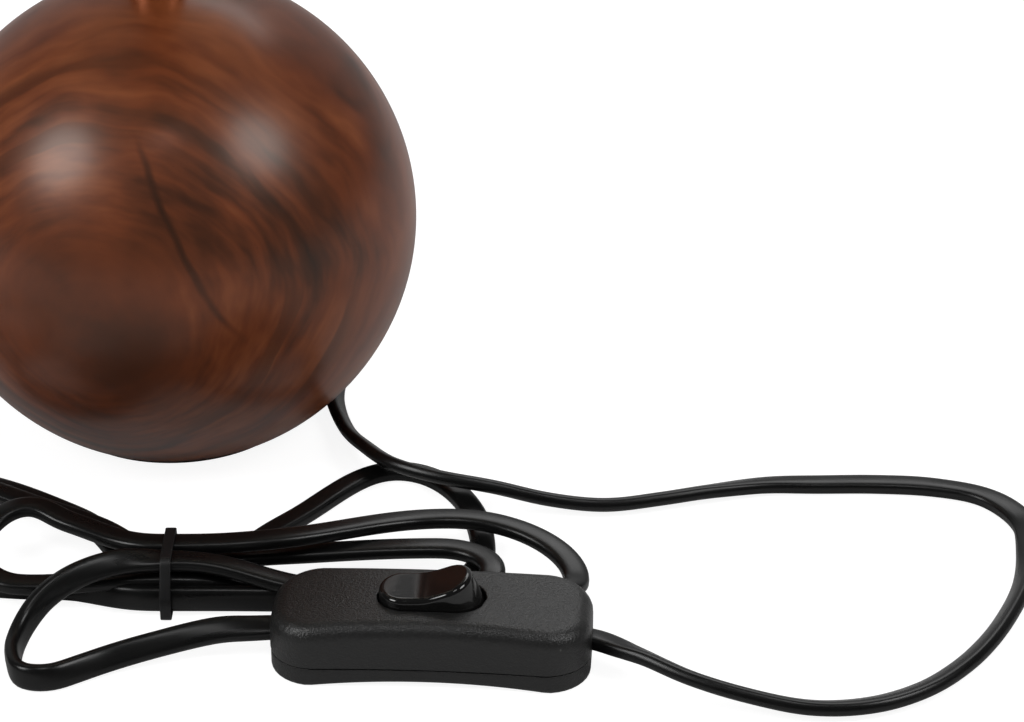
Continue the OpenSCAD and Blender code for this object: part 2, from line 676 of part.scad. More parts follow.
// Two screws driven up from below
module case_screws() color([0.72, 0.72, 0.7]) switch_place()
  for (p = case_screws_at) translate([p[0], p[1], 1.1]) difference() {
    union() {
      cylinder(d = post_d - 0.6, h = 1.5, $fn = 48);
      cylinder(d = case_screw_d, h = 8.6, $fn = 48);
    }
    translate([-1.6, -0.35, -0.1]) cube([3.2, 0.7, 1]);
    translate([-0.35, -1.6, -0.1]) cube([0.7, 3.2, 1]);
  }

// Rocker, drawn level about its pivot: a stadium whose ends lean in, with a top that dips in the middle
module rocker_body() {
  side = rocker_w / 2;
  rise = tan(rocker_tilt);
  hollow = rocker_dip - rocker_wall;
  difference() {
    intersection() {
      rotate([0, rocker_tilt, 0]) translate([0, 0, -slot_len])
        linear_extrude(2 * slot_len) slot_shape(2 * rocker_r, rocker_w);
      rotate([0, -rocker_tilt, 0]) translate([0, 0, -slot_len])
        linear_extrude(2 * slot_len) slot_shape(2 * rocker_r, rocker_w);
      rotate([90, 0, 0]) linear_extrude(rocker_w + 2, center = true) polygon([
        [-slot_len, -rocker_skirt], [slot_len, -rocker_skirt], [slot_len, rocker_dip + slot_len * rise],
        [2.5, rocker_dip + 2.5 * rise], [0, rocker_dip + 0.25],
        [-2.5, rocker_dip + 2.5 * rise], [-slot_len, rocker_dip + slot_len * rise]
      ]);
    }
    translate([0, 0, -rocker_skirt - 1]) linear_extrude(rocker_skirt + 1 + hollow)
      slot_shape(2 * rocker_r - 4 * rocker_wall, rocker_w - 2 * rocker_wall);
  }
  for (s = [-1, 1]) rotate([-90 * s, 0, 0])
    translate([0, 0, side - rocker_wall]) cylinder(d = pivot_d, h = rocker_wall + fit_gap + cheek_t - 0.2, $fn = 48);
  difference() {
    translate([0, 0, -0.6]) cylinder(d = 4.4, h = hollow + 0.8, $fn = 48);
    translate([0, 0, -1]) cylinder(d = 2.1, h = 2.4, $fn = 48);
  }
}

module in_rocker() switch_place() translate([0, 0, pivot_z]) rotate([0, -rocker_tilt, 0]) children();

module switch_rocker() color([0.03, 0.03, 0.03]) in_rocker() rocker_body();

// Round-nosed plunger in the rocker's socket, its nose just above the rocking plate
plunger_l = pivot_z - contact_pivot_z - contact_t / 2 - 0.25;

module rocker_plunger() color([0.8, 0.66, 0.32]) in_rocker()
  rotate([180, 0, 0]) rotate_extrude($fn = 48) polygon([
    [0, -1.3], [1, -1.3], [1, plunger_l - 1], [0.8, plunger_l - 0.4], [0.4, plunger_l - 0.1], [0, plunger_l]
  ]);

// Brass plate that rocks on the middle post, shown pressed down on the right
module rocking_contact() color([0.82, 0.68, 0.35]) switch_place()
  translate([0, 0, contact_pivot_z]) rotate([0, contact_tilt, 0]) {
    difference() {
      union() {
        translate([-contact_l / 2, -contact_w / 2, -contact_t / 2]) cube([contact_l, contact_w, contact_t]);
        for (s = [-1, 1])
          translate([-1.2, s * (contact_w / 2 + 0.25) - 0.25, -1.5]) cube([2.4, 0.5, 1.8]);
      }
      rotate([90, 0, 0]) translate([0, 0, -contact_w]) cylinder(d = 0.9, h = 2 * contact_w, $fn = 24);
    }
  }

// Live terminals: the left one carries the fulcrum, the right one the stud that the plate meets
block_h = 3.4;
post_top = contact_pivot_z - contact_t / 2 - stud_x * sin(contact_tilt) - fit_gap - 0.05;

module contact_posts() color([0.82, 0.68, 0.35]) switch_place() {
  translate([-1, -1.3, floor_z]) cube([2, 2.6, contact_pivot_z - contact_t / 2 - 0.3 - floor_z]);
  translate([-block_x, 2.2, floor_z]) cube([block_x + 1, 1.6, 0.8]);
  translate([-1, 1, floor_z]) cube([2, 2.8, 0.8]);
  translate([stud_x - 1.2, -2, floor_z]) cube([2.4, 4, post_top - floor_z]);
  translate([stud_x, -1.6, floor_z]) cube([block_x - stud_x, 3.2, 0.8]);
  for (s = [-1, 1]) translate([s * block_x - 1.8, s < 0 ? -1 : -2, floor_z]) difference() {
    cube([3.6, s < 0 ? 4.8 : 4, block_h]);
    translate([1.8, s < 0 ? 1 : 2, 1]) cylinder(d = 1.9, h = 4, $fn = 24);
  }
}

// Slotted screws in the two live terminals
module contact_screws() color([0.75, 0.75, 0.72]) switch_place()
  for (s = [-1, 1]) translate([s * block_x, 0, floor_z + block_h - 1.4]) difference() {
    union() {
      cylinder(d = 1.8, h = 2.4, $fn = 24);
      translate([0, 0, 1.5]) cylinder(d = 3, h = 1.4, $fn = 24);
    }
    translate([-2, -0.3, 2.3]) cube([4, 0.6, 1]);
  }

// Straight-through conductor beside the contacts
link_l = 24;

module neutral_link() color([0.82, 0.68, 0.35]) switch_place()
  translate([-link_l / 2, -7.4, floor_z]) difference() {
    cube([link_l, 2, 2.2]);
    for (x = [-1, link_l - 3]) translate([x, 0.4, 0.9]) cube([4, 1.2, 2]);
  }

// Bars that grip the lead at each end, with two screws each
clamp_z = lead_z + lead_t / 2 + 0.1;
clamp_t = 1.6;

module cord_clamps() color([0.06, 0.06, 0.06]) switch_place()
  for (s = [-1, 1]) difference() {
    translate([s * clamp_x - 1.6, -clamp_y - 1.7, clamp_z]) cube([3.2, 2 * clamp_y + 3.4, clamp_t]);
    for (t = [-1, 1]) translate([s * clamp_x, t * clamp_y, lead_z])
      cylinder(d = clamp_screw_d + 0.2, h = 5, $fn = 24);
  }

module clamp_screws() color([0.75, 0.75, 0.72]) switch_place()
  for (s = [-1, 1], t = [-1, 1]) translate([s * clamp_x, t * clamp_y, floor_z]) difference() {
    union() {
      cylinder(d = clamp_screw_d, h = clamp_z + clamp_t + 0.5 - floor_z, $fn = 24);
      translate([0, 0, clamp_z + clamp_t + 0.1 - floor_z]) cylinder(d = 3, h = 1, $fn = 24);
    }
    translate([-2, -0.3, clamp_z + clamp_t + 0.6 - floor_z]) cube([4, 0.6, 1]);
  }

// Cores between the ends of the leads and the terminals
module switch_cores() color([0.45, 0.25, 0.12]) switch_place()
  for (s = [-1, 1]) {
    rod([s * 17.8, 1.2, lead_z], [s * 14.8, 0.6, floor_z + 2.2], 1.2);
    rod([s * 17.8, -1.3, lead_z - 0.2], [s * (link_l / 2 + 0.6), -6, floor_z + 1.3], 1.1);
  }

// Free stretches of the lead
sw_right = in_switch([sw_len / 2, 0, lead_z]);
sw_right_in = in_switch([18.4, 0, lead_z]);
sw_left = in_switch([-sw_len / 2, 0, lead_z]);
sw_left_in = in_switch([-18.4, 0, lead_z]);

module lamp_lead() color([0.04, 0.04, 0.04])
  tube(concat(lamp_route, [sw_right, sw_right_in]), flat8);

module switch_lead() color([0.04, 0.04, 0.04])
  tube(concat([sw_left_in, sw_left], switch_route, before(hank_path)), flat8);

// Hank: each loop runs out of the tie over its fan and peak, round its tip and back along its belly
function at_tie(y, n, run = 0) = [tie_x + run, y, lay_z + n * layer + tie_lift];
// Leg that leaves the tie along X, passes through its fan and arrives at its peak along X
function leg(a, fan, b) =
  let (
    d = unit(b - a),
    m = d * norm(fan - a) * 0.35,
    k = d * norm(b - fan) * 0.35,
    out = [(fan[0] - a[0]) * 0.4, 0, 0],
    back = [(b[0] - fan[0]) * 0.4, 0, 0],
    n = leg_steps
  )
  concat(
    [for (i = [0:n - 1]) bezier(a, a + out, fan - m, fan, i / n)],
    [for (i = [0:n - 1]) bezier(fan, fan + k, b - back, b, i / n)]
  );
// Turn that leaves a along X and arrives at the tip b along Y
function turn(a, b) =
  let (h = 0.55)
  [for (i = [0:turn_steps - 1])
    bezier(a, [a[0] + (b[0] - a[0]) * h, a[1], a[2]], [b[0], b[1] - (b[1] - a[1]) * h, b[2]], b, i / turn_steps)];
function reversed(list) = [for (i = [len(list) - 1:-1:0]) list[i]];
function loop_path(shape, run, far_layer, near_layer) =
  concat(
    leg(at_tie(tie_back, far_layer, run), shape[0], shape[1]),
    turn(shape[1], shape[2]),
    [shape[2]],
    reversed(turn(shape[3], shape[2])),
    reversed(leg(at_tie(tie_front[near_layer], near_layer, run), shape[4], shape[3]))
  );
hank_path = concat(
  [at_tie(tie_front[2], 2)],
  reversed(loop_path(hank_right[0], tie_run, 2, 2)),
  loop_path(hank_left[0], -tie_run, 2, 1),
  reversed(loop_path(hank_right[1], tie_run, 0, 1)),
  loop_path(hank_left[1], -tie_run, 0, 0),
  reversed(loop_path(hank_right[2], tie_run, 1, 0)),
  [at_tie(tie_back, 1)]
);

module cord_hank() color([0.04, 0.04, 0.04]) {
  tube(hank_path, flat6);
  echo(least_gap_in_hank = least_gap(finer(hank_path, 4)));
}

// Points between the rings, and the least gap between strands that are not next to each other
function finer(path, k) =
  concat([for (i = [0:len(path) - 2], j = [0:k - 1]) path[i] + (path[i + 1] - path[i]) * j / k], [path[len(path) - 1]]);
function strand_gap(p, q) =
  let (flat = norm([p[0] - q[0], p[1] - q[1]]), high = p[2] - q[2])
  norm([max(0, flat - lead_w + lead_t), high]) - lead_t;
function least_gap(path) =
  min([for (i = [0:len(path) - 1], j = [i + 12:len(path) - 1]) strand_gap(path[i], path[j])]);

// Band round the waist of the hank
module hank_tie() color([0.05, 0.05, 0.05]) {
  side = lead_w / 2 + fit_gap;
  top = tie_lift + 2 * layer + lead_t + fit_gap;
  inner = [
    [tie_back + side, tie_t], [tie_front[0] - side, tie_t], [tie_front[0] - side, tie_lift + lead_t],
    [tie_front[2] - side, top], [tie_back + side, top]
  ];
  translate([tie_x - tie_w / 2, 0, 0]) rotate([90, 0, 90]) linear_extrude(tie_w) difference() {
    offset(delta = tie_t) polygon(inner);
    polygon(inner);
  }
}

module plug_lead() color([0.04, 0.04, 0.04])
  tube(concat(after(hank_path), plug_route, before(coil_path)), flat8);

// Coil: two layers, spiralling in and out again, climbing over a quarter turn
function coil_point(t) =
  let (
    mid = coil_turns / 2,
    r = coil_r - (coil_r - coil_inner) * (1 - abs(t - mid) / mid),
    z = lay_z + layer * ease((t - 0.75) / 0.25),
    a = 90 + 360 * t
  )
  [coil_x + r * cos(a), coil_y + r * sin(a), z];
coil_path = [for (i = [0:coil_rings]) coil_point(coil_turns * i / coil_rings)];

module plug_coil() color([0.04, 0.04, 0.04]) {
  tube(coil_path, flat6);
  echo(least_gap_in_coil = least_gap(finer(coil_path, 2)));
}

module coil_end_lead() color([0.04, 0.04, 0.04])
  tube(concat(after(coil_path), end_route, [[plug_x, plug_y - relief_len, plug_z]]), flat8);

// Plug with a grooved tail, a flat body and two part-sleeved pins
module plug_relief() color([0.05, 0.05, 0.05])
  translate([plug_x, plug_y - relief_len, plug_z]) rotate([-90, 0, 0]) difference() {
    cylinder(d1 = 7.2, d2 = 10, h = relief_len);
    for (i = [0:3], s = [-1, 1])
      translate([-8, s > 0 ? 3 : -5.4, 3 + i * 3.8]) cube([16, 2.4, 1.5]);
  }

module plug_body() color([0.05, 0.05, 0.05]) {
  translate([plug_x, plug_y, plug_z]) rotate([-90, 0, 0]) difference() {
    union() {
      hull() {
        linear_extrude(0.02) slot_shape(14, 10.4, $fn = 32);
        translate([0, 0, plug_len - 12]) linear_extrude(0.02) slot_shape(plug_w - 3, plug_t, $fn = 32);
        translate([0, 0, plug_len - 8]) linear_extrude(8) slot_shape(plug_w, plug_t, $fn = 32);
      }
      for (s = [-1, 1]) translate([s * pin_gap / 2, 0, plug_len - 0.5])
        cylinder(d = sleeve_dia, h = sleeve_len + 0.5, $fn = 48);
    }
    for (s = [-1, 1]) translate([s * pin_gap / 2, 0, plug_len - 6])
      cylinder(d = sleeve_dia - 1, h = sleeve_len + 7, $fn = 48);
  }
}

module plug_pins() color([0.8, 0.8, 0.78])
  for (s = [-1, 1]) translate([plug_x + s * pin_gap / 2, plug_y + plug_len, plug_z]) rotate([-90, 0, 0]) {
    translate([0, 0, -5.5]) cylinder(d = sleeve_dia - 1.1, h = sleeve_len + 6.5, $fn = 48);
    translate([0, 0, sleeve_len + 0.05]) cylinder(d = pin_d, h = pin_len - sleeve_len - 1, $fn = 48);
    translate([0, 0, pin_len - 0.95]) cylinder(d1 = pin_d, d2 = pin_d - 1.4, h = 0.95, $fn = 48);
  }

ball_base();
base_weight();
weight_screws();
felt_pad();
cord_bush();
inner_lead();
stem_tube();
stem_washer();
stem_nut();
neck_tube();
neck_cup();
holder_cap();
holder_insert();
holder_terminals();
terminal_screws();
holder_sleeve();
screw_shell();
centre_contact();
shade_ring();
shade_carrier();
shade_top_ring();
shade_cloth();
shade_lower_hem();
shade_upper_hem();
switch_cover();
switch_base();
switch_rocker();
rocker_plunger();
rocking_contact();
contact_posts();
contact_screws();
neutral_link();
cord_clamps();
clamp_screws();
switch_cores();
case_screws();
lamp_lead();
switch_lead();
cord_hank();
hank_tie();
plug_lead();
plug_coil();
coil_end_lead();
plug_body();
plug_relief();
plug_pins();
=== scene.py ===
import math
import bmesh
import bpy
import numpy as np
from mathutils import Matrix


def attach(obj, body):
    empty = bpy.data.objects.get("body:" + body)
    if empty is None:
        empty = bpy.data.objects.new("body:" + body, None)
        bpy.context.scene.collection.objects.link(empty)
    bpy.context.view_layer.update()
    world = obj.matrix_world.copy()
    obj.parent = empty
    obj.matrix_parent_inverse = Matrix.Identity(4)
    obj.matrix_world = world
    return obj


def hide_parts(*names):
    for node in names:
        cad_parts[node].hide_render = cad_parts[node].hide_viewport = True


# Table lamp: wooden ball, copper neck, cloth shade, flat lead with a rocker switch and a plug.
# Everything is in metres, in the frame's own axes: origin on the table under the ball, lead out at +Y.

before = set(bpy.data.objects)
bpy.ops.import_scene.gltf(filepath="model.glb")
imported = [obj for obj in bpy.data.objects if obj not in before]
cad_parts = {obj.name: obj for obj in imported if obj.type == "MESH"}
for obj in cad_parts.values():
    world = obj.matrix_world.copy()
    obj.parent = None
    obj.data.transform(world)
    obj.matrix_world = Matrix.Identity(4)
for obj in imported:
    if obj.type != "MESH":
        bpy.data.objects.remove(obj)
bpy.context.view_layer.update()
print("frame loaded:", len(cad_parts), "nodes")


# Camera at the photograph's angle
cameraSetup = {"place": (.07498, -.63669, .34322), "tilt": 62.5, "lens": 112.5, "sensor": 36}


def addObject(name, data):
    made = bpy.data.objects.new(name, data)
    bpy.context.collection.objects.link(made)
    return made


def makeCamera(setup):
    data = bpy.data.cameras.new("camera")
    data.lens = setup["lens"]
    data.sensor_width = setup["sensor"]
    data.clip_start = .01
    eye = addObject("camera", data)
    eye.location = setup["place"]
    eye.rotation_euler = (math.radians(setup["tilt"]), 0, 0)
    bpy.context.scene.camera = eye


makeCamera(cameraSetup)
bpy.context.scene.view_settings.view_transform = "Standard"


# The bearings of points spaced evenly round a circle
def bearings(steps):
    return np.linspace(0, 2 * np.pi, steps, endpoint=False)


# The distance run at each point of a line
def runAlong(line):
    return np.concatenate([[0], np.cumsum(np.linalg.norm(np.diff(line, axis=0), axis=1))])


def lengthOf(line):
    return float(runAlong(line)[-1])


# A grid of points (rows, columns, 3) becomes quads between neighbouring rows. Columns run round the
# piece, rows along it. A pole closes an end row with a fan to one point. The UV map is in metres:
# u is the way round at the mean girth, v the distance run from the first row.
def surface(name, grid, around=True, along=False, poles=(None, None)):
    grid = np.asarray(grid, float)
    rows, columns = grid.shape[:2]
    i, j = np.meshgrid(np.arange(rows if along else rows - 1),
                       np.arange(columns if around else columns - 1), indexing="ij")
    low, high, right = i * columns, (i + 1) % rows * columns, (j + 1) % columns
    quads = np.stack([low + j, low + right, high + right, high + j], -1).reshape(-1, 4)
    gaps = np.linalg.norm(np.diff(np.concatenate([grid, grid[:1]]), axis=0), axis=2).mean(1)
    run = np.concatenate([[0], np.cumsum(gaps)])
    girth = np.linalg.norm(np.roll(grid, -1, 1) - grid, axis=2).sum(1).mean()
    u = np.stack([j, j + 1, j + 1, j], -1) / columns * girth
    v = np.stack([run[i], run[i], run[i + 1], run[i + 1]], -1)
    points = grid.reshape(-1, 3)
    maps = np.stack([u, v], -1).reshape(-1, 4, 2)
    triangles, triangleMaps = np.empty((0, 3), int), np.empty((0, 3, 2))
    k = np.arange(columns)
    for end, pole in enumerate(poles):
        if pole is None:
            continue
        first = (rows - 1) * columns * end
        ring = [first + k, first + (k + 1) % columns]
        tip = np.full(columns, len(points))
        fan = [tip, ring[1], ring[0]] if end == 0 else [tip, ring[0], ring[1]]
        edge = [k / columns * girth, (k + 1) / columns * girth]
        across = [edge[0], edge[1], edge[0]] if end == 0 else [edge[0], edge[0], edge[1]]
        height = run[(rows - 1) * end]
        triangles = np.concatenate([triangles, np.stack(fan, -1)])
        triangleMaps = np.concatenate(
            [triangleMaps, np.stack([np.stack(across, -1), np.full((columns, 3), height)], -1)])
        points = np.concatenate([points, [pole]])
    return fromArrays(name, points, quads, maps, triangles, triangleMaps)


# Six times the volume of a closed mesh is the sum of a . (b x c) over its triangles: below nought
# the faces point inwards, and their corners are taken the other way round.
def fromArrays(name, points, quads, maps, triangles, triangleMaps):
    corners = points[np.concatenate([quads[:, [0, 1, 2]], quads[:, [0, 2, 3]], triangles])]
    if (corners[:, 0] * np.cross(corners[:, 1], corners[:, 2])).sum() < 0:
        quads, maps = quads[:, ::-1], maps[:, ::-1]
        triangles, triangleMaps = triangles[:, ::-1], triangleMaps[:, ::-1]
    mesh = bpy.data.meshes.new(name)
    mesh.from_pydata(points.tolist(), [], quads.tolist() + triangles.tolist())
    layer = mesh.uv_layers.new(name="place")
    layer.data.foreach_set("uv", np.concatenate([maps.reshape(-1, 2), triangleMaps.reshape(-1, 2)]).ravel())
    mesh.polygons.foreach_set("use_smooth", np.ones(len(mesh.polygons), bool))
    return addObject(name, mesh)


# Merges points that lie on each other, where a ring has shrunk to a line or a point.
def weld(piece, reach=2e-6):
    work = bmesh.new()
    work.from_mesh(piece.data)
    bmesh.ops.remove_doubles(work, verts=work.verts, dist=reach)
    bmesh.ops.dissolve_degenerate(work, edges=work.edges, dist=reach / 4)
    bmesh.ops.recalc_face_normals(work, faces=work.faces)
    work.to_mesh(piece.data)
    work.free()
    return piece


def crease(piece, angle=35):
    piece.data.set_sharp_from_angle(angle=math.radians(angle))
    return piece


# Takes the cutters out of a piece and keeps the result as its mesh.
def cutAway(piece, cutters, angle=35):
    for cutter in cutters:
        step = piece.modifiers.new("cut", "BOOLEAN")
        step.operation, step.solver, step.object = "DIFFERENCE", "EXACT", cutter
    bpy.context.view_layer.update()
    shaped = piece.evaluated_get(bpy.context.evaluated_depsgraph_get())
    mesh = bpy.data.meshes.new_from_object(shaped)
    piece.modifiers.clear()
    piece.data = mesh
    for cutter in cutters:
        bpy.data.objects.remove(cutter)
    return crease(piece, angle)


# Rounds the corners of a profile: each corner p becomes the curve (1-t)^2 s + 2t(1-t) p + t^2 e
# between s and e, which lie on its two edges at the corner's own distance, or less on a short edge.
def rounded(corners, reach, steps=6, closed=True):
    p = np.asarray(corners, float)
    size = np.broadcast_to(np.asarray(reach, float), len(p)).copy()
    if not closed:
        size[[0, -1]] = 0
    before, after = np.roll(p, 1, 0) - p, np.roll(p, -1, 0) - p
    lengths = np.linalg.norm(before, axis=1), np.linalg.norm(after, axis=1)
    size = np.minimum(size, np.minimum(*lengths) * .48)[:, None]
    start, end = p + before / lengths[0][:, None] * size, p + after / lengths[1][:, None] * size
    t = np.linspace(0, 1, steps)[None, :, None]
    curve = (1 - t) ** 2 * start[:, None] + 2 * t * (1 - t) * p[:, None] + t ** 2 * end[:, None]
    line = curve.reshape(-1, p.shape[1])
    keep = np.linalg.norm(line - np.roll(line, 1, 0), axis=1) > 1e-7
    return line[keep] if closed else line[keep | (np.arange(len(line)) == 0)]


# Adds a point beside each end of a long edge, so that the shading of a flat stays flat.
def held(line, share=.03, least=.002):
    after = np.roll(line, -1, 0)
    long = np.linalg.norm(after - line, axis=1) > least
    near, far = line + (after - line) * share, line + (after - line) * (1 - share)
    stacked = np.stack([line, near, far], 1)
    wanted = np.stack([np.ones(len(line), bool), long, long], 1)
    return stacked[wanted]


# A profile of (radius, height) carried round an axis: (r cos a, r sin a, h), h along z or y.
def turned(name, profile, centre=(0, 0, 0), axis="z", steps=96, closed=True, ripple=None):
    r, h = np.asarray(profile, float).T
    a = bearings(steps)
    radius = np.repeat(r[:, None], steps, 1)
    height = np.repeat(h[:, None], steps, 1)
    if ripple is not None:
        radius = ripple(radius, height, a[None, :])
    across, up = radius * np.cos(a), radius * np.sin(a)
    parts = (across, up, height) if axis == "z" else (across, height, up)
    grid = np.stack(parts, -1) + np.asarray(centre, float)
    if closed:
        return surface(name, grid, along=True)
    ends = [(0, 0, e) if axis == "z" else (0, e, 0) for e in (h[0], h[-1])]
    return surface(name, grid, poles=[np.add(centre, e) for e in ends])


# A flat section (s, t) carried along a path: path + side * s + up * t, where side is level and square
# to the path's direction, or given, and up is square to both. A roll turns the two about the path.
def swept(name, path, section, side=None, closed=False, roll=None):
    path = np.asarray(path, float)
    ahead = np.roll(path, -1, 0) - np.roll(path, 1, 0) if closed else np.gradient(path, axis=0)
    ahead /= np.linalg.norm(ahead, axis=1)[:, None]
    if side is None:
        side = np.cross([0, 0, 1], ahead)
        side /= np.linalg.norm(side, axis=1)[:, None]
    side = np.broadcast_to(np.asarray(side, float), path.shape)
    up = np.cross(ahead, side)
    if roll is not None:
        c, s = np.cos(roll)[:, None], np.sin(roll)[:, None]
        side, up = side * c + up * s, up * c - side * s
    s, t = np.asarray(section, float).T
    grid = path[:, None] + side[:, None] * s[None, :, None] + up[:, None] * t[None, :, None]
    return surface(name, grid, along=closed, poles=(None, None) if closed else (path[0], path[-1]))


# Stadium of this half length and half width, counted round from the right end: two half circles of
# the half width and two straight sides. The points keep their order when the half width shrinks.
def stadium(halfLength, halfWidth, turnSteps=12, sideSteps=10):
    reach = halfLength - halfWidth
    a = np.linspace(-np.pi / 2, np.pi / 2, turnSteps)
    s = np.linspace(reach, -reach, sideSteps + 2)[1:-1]
    right = np.stack([reach + halfWidth * np.cos(a), halfWidth * np.sin(a)], -1)
    top = np.stack([s, np.full(sideSteps, halfWidth)], -1)
    return np.concatenate([right, top, -right, -top])


# Inset and drop of the points of a rounded edge, from its side to its top
def quarterRound(radius, steps, first=0):
    turns = np.radians(np.linspace(first, 90, steps))
    return [(radius * (1 - math.cos(b)), radius * (1 - math.sin(b))) for b in turns]


# Ring of a rounded oblong section with the power n: |x/a|^n + |y/b|^n = 1
def squircle(halfLength, halfWidth, power=2.6, steps=24):
    a = bearings(steps)
    c, s = np.cos(a), np.sin(a)
    return np.stack([halfLength * np.sign(c) * np.abs(c) ** (2 / power),
                     halfWidth * np.sign(s) * np.abs(s) ** (2 / power)], -1)


# Puts a finished piece on its body, in the place of its solids, with its slot's finish
def wear(piece, slot, nodes, body="lamp"):
    piece.data.materials.clear()
    piece.data.materials.append(finishes[slotFinishes[slot]])
    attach(piece, body)
    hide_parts(*nodes)
    return piece


# Adds a node with its settings, and with the values or the sockets that feed its inputs
def addNode(tree, kind, settings=None, inputs=None):
    made = tree.nodes.new(kind)
    for key, value in (settings or {}).items():
        setattr(made, key, value)
    for key, value in (inputs or {}).items():
        if isinstance(value, bpy.types.NodeSocket):
            tree.links.new(value, made.inputs[key])
        else:
            made.inputs[key].default_value = value
    return made


# Finishes: a Wire is one socket of a material, and sums, products and so on of wires add Math nodes
class Wire:
    def __init__(self, finish, socket):
        self.finish, self.socket = finish, socket

    def calc(self, operation, *values):
        inputs = dict(enumerate((self,) + values))
        return self.finish.node("ShaderNodeMath", {"operation": operation}, inputs)

    def __add__(self, other):
        return self.calc("ADD", other)

    def __sub__(self, other):
        return self.calc("SUBTRACT", other)

    def __rsub__(self, other):
        return self.finish.node("ShaderNodeMath", {"operation": "SUBTRACT"}, {0: other, 1: self})

    def __mul__(self, other):
        return self.calc("MULTIPLY", other)

    def __truediv__(self, other):
        return self.calc("DIVIDE", other)

    def __pow__(self, other):
        return self.calc("POWER", other)

    __radd__ = __add__
    __rmul__ = __mul__


# A material under construction: node() takes a node's type, its settings and what its sockets hold
class Finish:
    def __init__(self, name, sockets):
        self.material = bpy.data.materials.new(name)
        self.material.use_nodes = True
        self.tree = self.material.node_tree
        self.tree.nodes.clear()
        self.shader = self.node("ShaderNodeBsdfPrincipled", {}, sockets)
        self.node("ShaderNodeOutputMaterial", {}, {"Surface": self.shader})
        self.place = self.node("ShaderNodeTexCoord", {}, {}, "Object")
        self.onPiece = self.node("ShaderNodeUVMap", {"uv_map": "place"}, {}, "UV")

    def node(self, kind, settings=None, inputs=None, out=0):
        fed = {key: value.socket if isinstance(value, Wire) else value
               for key, value in (inputs or {}).items()}
        made = addNode(self.tree, kind, settings, fed)
        return Wire(self, made.outputs[out]) if made.outputs else None

    def noise(self, vector, scale, detail=3, roughness=.5, distortion=0):
        return self.node("ShaderNodeTexNoise", {}, {
            "Vector": vector, "Scale": scale, "Detail": detail, "Roughness": roughness,
            "Distortion": distortion})

    def along(self, direction):
        return self.node("ShaderNodeVectorMath", {"operation": "DOT_PRODUCT"},
                         {0: self.place, 1: direction}, "Value")

    def lineNoise(self, value, detail, roughness):
        return self.node("ShaderNodeTexNoise", {"noise_dimensions": "1D"},
                         {"W": value, "Scale": 1, "Detail": detail, "Roughness": roughness})

    def stretched(self, scale, vector=None):
        return self.node("ShaderNodeMapping", {}, {"Vector": vector or self.place, "Scale": scale})

    def between(self, value, low, high, start=0, end=1):
        return self.node("ShaderNodeMapRange", {"interpolation_type": "SMOOTHSTEP"}, {
            "Value": value, "From Min": low, "From Max": high, "To Min": start, "To Max": end})

    def mixed(self, share, first, second):
        return self.node("ShaderNodeMix", {"data_type": "RGBA"},
                         {0: share, 6: linear(first), 7: linear(second)}, 2)

    def ramp(self, value, stops):
        made = self.node("ShaderNodeValToRGB", {}, {0: value})
        elements = made.socket.node.color_ramp.elements
        while len(elements) < len(stops):
            elements.new(.5)
        for stop, (place, colour) in zip(elements, stops):
            stop.position, stop.color = place, linear(colour)
        return made

    # The finished material: its colour, its roughness, and a bump of this height, depth and strength
    def made(self, colour, roughness, *relief):
        normal = self.node("ShaderNodeBump", {}, dict(zip(("Height", "Distance", "Strength"), relief)))
        for key, wire in (("Base Color", colour), ("Roughness", roughness), ("Normal", normal)):
            self.tree.links.new(wire.socket, self.shader.socket.node.inputs[key])
        return self.material


# Colours are given as they look on a screen, 0 to 255, and turned into the linear values Blender uses
def linear(colour):
    if isinstance(colour, Wire):
        return colour
    c = np.array(colour) / 255
    return (*np.where(c <= .04045, c / 12.92, ((c + .055) / 1.055) ** 2.4).tolist(), 1)


woodLook = {
    "eye": (-.18, -.983, -.02),       # where the growth rings are seen end on
    "middle": (0, 0, .04777),
    "pale": (138, 76, 42), "warm": (104, 51, 26), "deep": (72, 36, 19), "vein": (44, 24, 14),
    "pore": (40, 22, 14),
    "roughness": .36, "bandScale": 95, "streakScale": 430, "warp": .009, "quiet": (.012, .032),
    "clouds": [((.0024, -.0522, .038), .019), ((.0078, -.0515, .0661), .016),     # dark: middle, reach
               ((.0315, -.0424, .063), .015), ((.0491, -.0171, .0662), .014)],
    "crack": (-.33, -.55, .0261),     # u of a thin dark line across the rings, from v * v, v and 1
}


